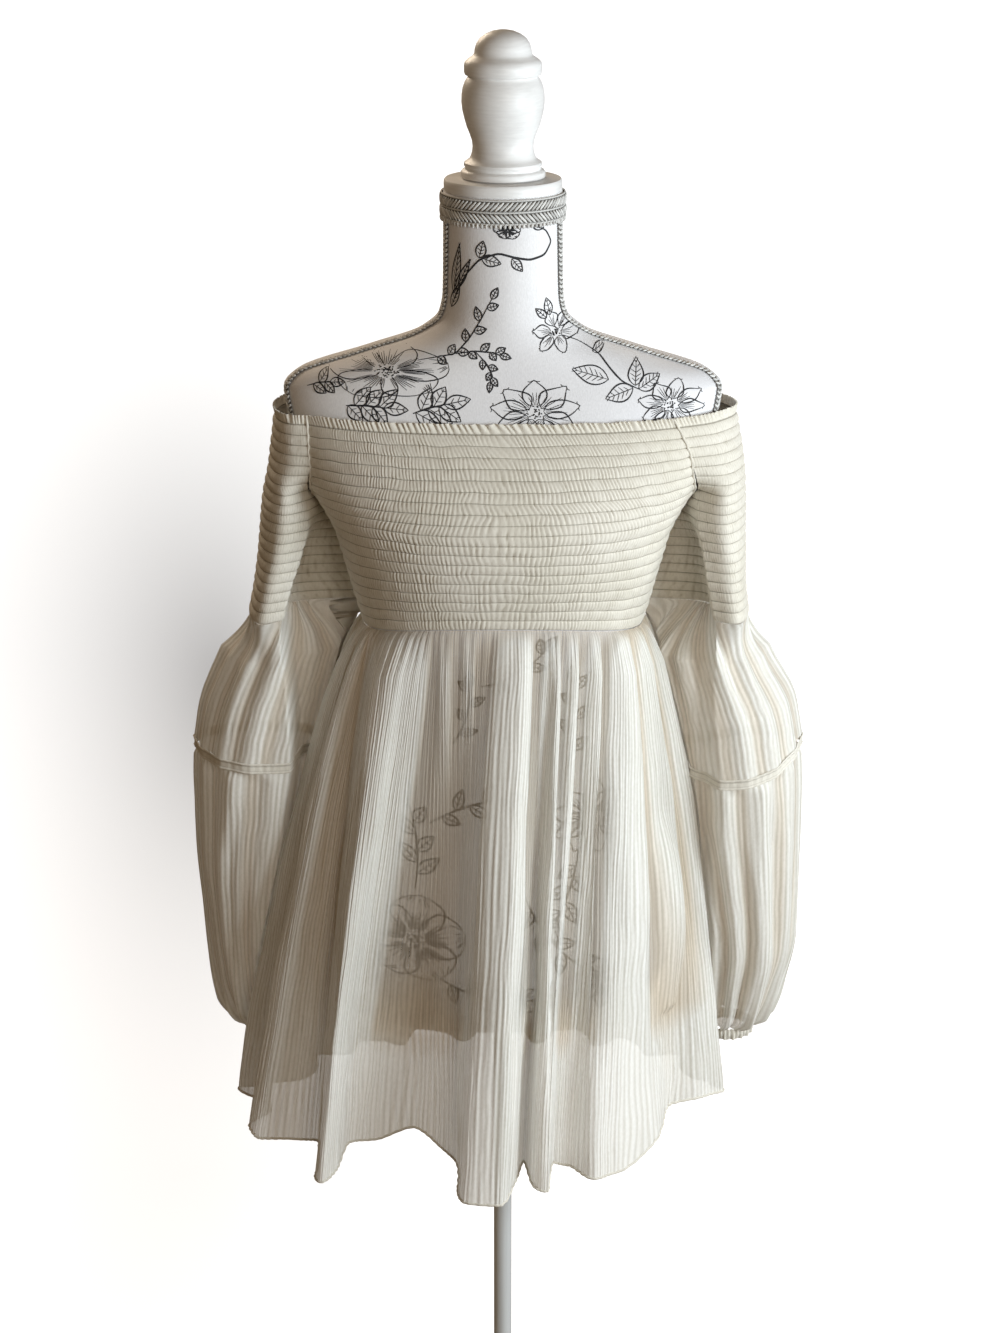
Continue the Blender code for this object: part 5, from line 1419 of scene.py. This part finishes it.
sleeve_sheer = sheer_finish("sheer_sleeve_crepe", 0.16, 0.88, 0.97)
for label, side in (("left", -1), ("right", 1)):
    tier = TIERS[side]
    balloon = BALLOONS[side]
    tier_shape = full_sleeve(side, tier, 26, 58, 200 + side, sewn_reach(side), False, 1.6, 0.1)
    tier_cloth = wrapped_grid("sleeve_tier_cloth_" + label, 290, 60, tier_shape, ring=True)
    tier_cloth.data.materials.append(sleeve_sheer)
    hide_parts("sleeve_tier_" + label)
    balloon_shape = full_sleeve(side, balloon, 22, 58, 300 + side, None, True, 0.7, 1.6)
    balloon_cloth = wrapped_grid("sleeve_balloon_cloth_" + label, 290, 120, balloon_shape, ring=True)
    balloon_cloth.data.materials.append(sleeve_sheer)
    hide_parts("sleeve_balloon_" + label)

    tier_foot = float(tier[0, 0])
    band_low = float(balloon[-1, 0])

    def band_cloth(u, v):
        points, shades = full_sleeve(side, tier, 26, 58, 200 + side, None, False, 0.0, 0.1)(u, v * 0)
        middle = np.array([side * (tier[0, 1] + tier[0, 2]) / 2, tier[0, 3]])
        away = points[:, :2] - middle
        away /= np.linalg.norm(away, axis=1, keepdims=True)
        piping_lines = 0.0014 * np.exp(-((v - 0.90) / 0.10) ** 2) + 0.0010 * np.exp(-((v - 0.10) / 0.09) ** 2)
        bulge = 0.0007 + piping_lines
        points[:, :2] += away * bulge[:, None]
        points[:, 2] += band_low - tier_foot - 0.0008 + (tier_foot - band_low + 0.0018) * v
        # Painted shade: two thin darker lines in the grooves beside the piping.
        lines = 0.50 * np.exp(-((v - 0.72) / 0.06) ** 2) + 0.40 * np.exp(-((v - 0.26) / 0.06) ** 2)
        return points, {"furrow_shade": lines, "valley_shade": v * 0}

    band = wrapped_grid("sleeve_band_folded_" + label, 290, 16, band_cloth, ring=True)
    band.data.materials.append(smock_finish)
    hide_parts("sleeve_band_" + label)

    def cuff_cloth(u, v):
        u = np.where(u > 0.999999, 0.0, u)
        angle = 2 * np.pi * u
        z = 0.4445 + 0.0112 * v
        x_mid = (balloon[0, 1] + balloon[0, 2]) / 2
        reach = (balloon[0, 1] - balloon[0, 2]) / 2
        pleat = 0.0007 * np.cos(angle * 38 + 2 * wander(u, v * 0, 12, 1, 5) * np.sin(np.pi * u))
        bulge = 0.0012 * np.sin(np.pi * v) + pleat + 0.0014 * (1 - v) ** 3 * np.cos(19 * angle)
        x = x_mid + (reach + bulge) * np.cos(angle)
        y = balloon[0, 3] + (0.026 + bulge) * np.sin(angle)
        # Painted shade: darker in the hollows between the pleats.
        return np.stack([side * x, y, z], axis=1), {"furrow_shade": np.clip(0.35 - pleat / 0.0014, 0, 1) * 0.7}

    cuff = wrapped_grid("cuff_elastic_" + label, 228, 10, cuff_cloth, ring=True)
    cuff.data.materials.append(smock_finish)
    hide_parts("cuff_" + label)
    for piece, material_slot in (
        (tier_cloth, "sheer_cloth"), (balloon_cloth, "sheer_cloth"),
        (band, "smocked_cloth"), (cuff, "smocked_cloth"),
    ):
        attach(piece, "root")

# Studio: a pale glowing floor that curves up into a backdrop with a soft shadow painted on its
# left, soft lights from the viewer's right and front, a weak warm one behind, and a camera at the
# photograph's height and tilt.
def sweep(u, v):
    reach = 3.4 * v
    flat_part = np.minimum(reach, 1.0)
    bend = np.clip((reach - 1.0) / 0.8, 0.0, 1.0) * np.pi / 2
    y = -1.6 + 2.2 * flat_part + 0.5 * np.sin(bend)
    z = 0.5 * (1 - np.cos(bend)) + np.maximum(reach - 1.8, 0.0) * 1.6
    return np.stack([(u - 0.5) * 7.0, y, z], axis=1)


bpy.ops.object.select_all(action="DESELECT")
backdrop = wrapped_grid("studio_sweep", 8, 80, sweep)
backdrop.data.flip_normals()
backdrop_finish, tree, shader, coords = new_finish("studio_paper")
paper = speckle(tree, coords, 3.0, 2.0)
tree.links.new(blend_of(tree, paper, (0.58, 0.58, 0.585), (0.61, 0.61, 0.61)), shader.inputs["Base Color"])
tree.links.new(blend_of(tree, paper, (0.85, 0.85, 0.85), (0.95, 0.95, 0.95)), shader.inputs["Roughness"])
# Painted shadow: a soft grey patch on the glowing paper left of the form, darkest at its middle.
shade = tree.nodes.new("ShaderNodeMapping")
shade.inputs["Location"].default_value = (0.72, 0.0, -0.47)
shade.inputs["Scale"].default_value = (1.95, 0.0, 1.05)
tree.links.new(coords, shade.inputs["Vector"])
shadow_patch = tree.nodes.new("ShaderNodeTexGradient")
shadow_patch.gradient_type = "QUADRATIC_SPHERE"
tree.links.new(shade.outputs["Vector"], shadow_patch.inputs["Vector"])
paper_glow_painted_shadow = blend_of(tree, shadow_patch.outputs["Fac"], (0.97, 0.97, 0.972), (0.20, 0.202, 0.21))
tree.links.new(paper_glow_painted_shadow, shader.inputs["Emission Color"])
shader.inputs["Emission Strength"].default_value = 1.0
side_seen = tree.nodes.new("ShaderNodeNewGeometry")
open_back = tree.nodes.new("ShaderNodeBsdfTransparent")
paper_mix = tree.nodes.new("ShaderNodeMixShader")
tree.links.new(side_seen.outputs["Backfacing"], paper_mix.inputs[0])
tree.links.new(shader.outputs[0], paper_mix.inputs[1])
tree.links.new(open_back.outputs[0], paper_mix.inputs[2])
tree.links.new(paper_mix.outputs[0], tree.nodes["Material Output"].inputs["Surface"])
backdrop.data.materials.append(backdrop_finish)
backdrop.visible_diffuse = False
backdrop.visible_glossy = False

for name, place, aim, size, power, tint in (
    ("window_light", (1.20, -1.15, 1.22), (0.0, 0.0, 0.82), 0.8, 25.5, (0.84, 0.935, 1.0)),
    ("side_light", (1.75, -0.15, 1.00), (0.2, 0.0, 0.65), 0.7, 10.0, (0.90, 0.96, 1.0)),
    ("front_light", (0.70, -2.40, 1.75), (0.0, 0.0, 0.85), 0.8, 10.5, (1.0, 0.90, 0.78)),
    ("back_light", (-0.50, 1.00, 1.80), (0.0, 0.0, 0.85), 0.6, 10.0, (1.0, 0.84, 0.66)),
):
    lamp = bpy.data.lights.new(name, "AREA")
    lamp.shape = "DISK"
    lamp.size = size
    lamp.energy = power
    lamp.color = tint
    holder = bpy.data.objects.new(name, lamp)
    bpy.context.scene.collection.objects.link(holder)
    holder.location = place
    holder.visible_camera = False
    way = np.array(aim) - np.array(place)
    holder.rotation_euler = (
        math.atan2(math.hypot(way[0], way[1]), -way[2]), 0.0, math.atan2(way[1], way[0]) - math.pi / 2,
    )

sky = bpy.data.worlds.new("studio_air")
bpy.context.scene.world = sky
sky.use_nodes = True
air = sky.node_tree.nodes["Background"]
air.inputs["Color"].default_value = (1.0, 0.71, 0.44, 1.0)
air.inputs["Strength"].default_value = 0.14
pale = sky.node_tree.nodes.new("ShaderNodeBackground")
pale.inputs["Color"].default_value = (0.80, 0.80, 0.81, 1.0)
seen = sky.node_tree.nodes.new("ShaderNodeLightPath")
either = sky.node_tree.nodes.new("ShaderNodeMixShader")
sky.node_tree.links.new(seen.outputs["Is Camera Ray"], either.inputs[0])
sky.node_tree.links.new(air.outputs[0], either.inputs[1])
sky.node_tree.links.new(pale.outputs[0], either.inputs[2])
sky.node_tree.links.new(either.outputs[0], sky.node_tree.nodes["World Output"].inputs["Surface"])

view = bpy.data.cameras.new("photo_camera")
view.sensor_width = 36.0
view.lens = 81.8
camera = bpy.data.objects.new("photo_camera", view)
bpy.context.scene.collection.objects.link(camera)
camera.location = (-0.0027, -2.70, 1.731)
camera.rotation_euler = (math.radians(71.76), 0.0, 0.0)
bpy.context.scene.camera = camera
bpy.context.scene.view_settings.view_transform = "Standard"
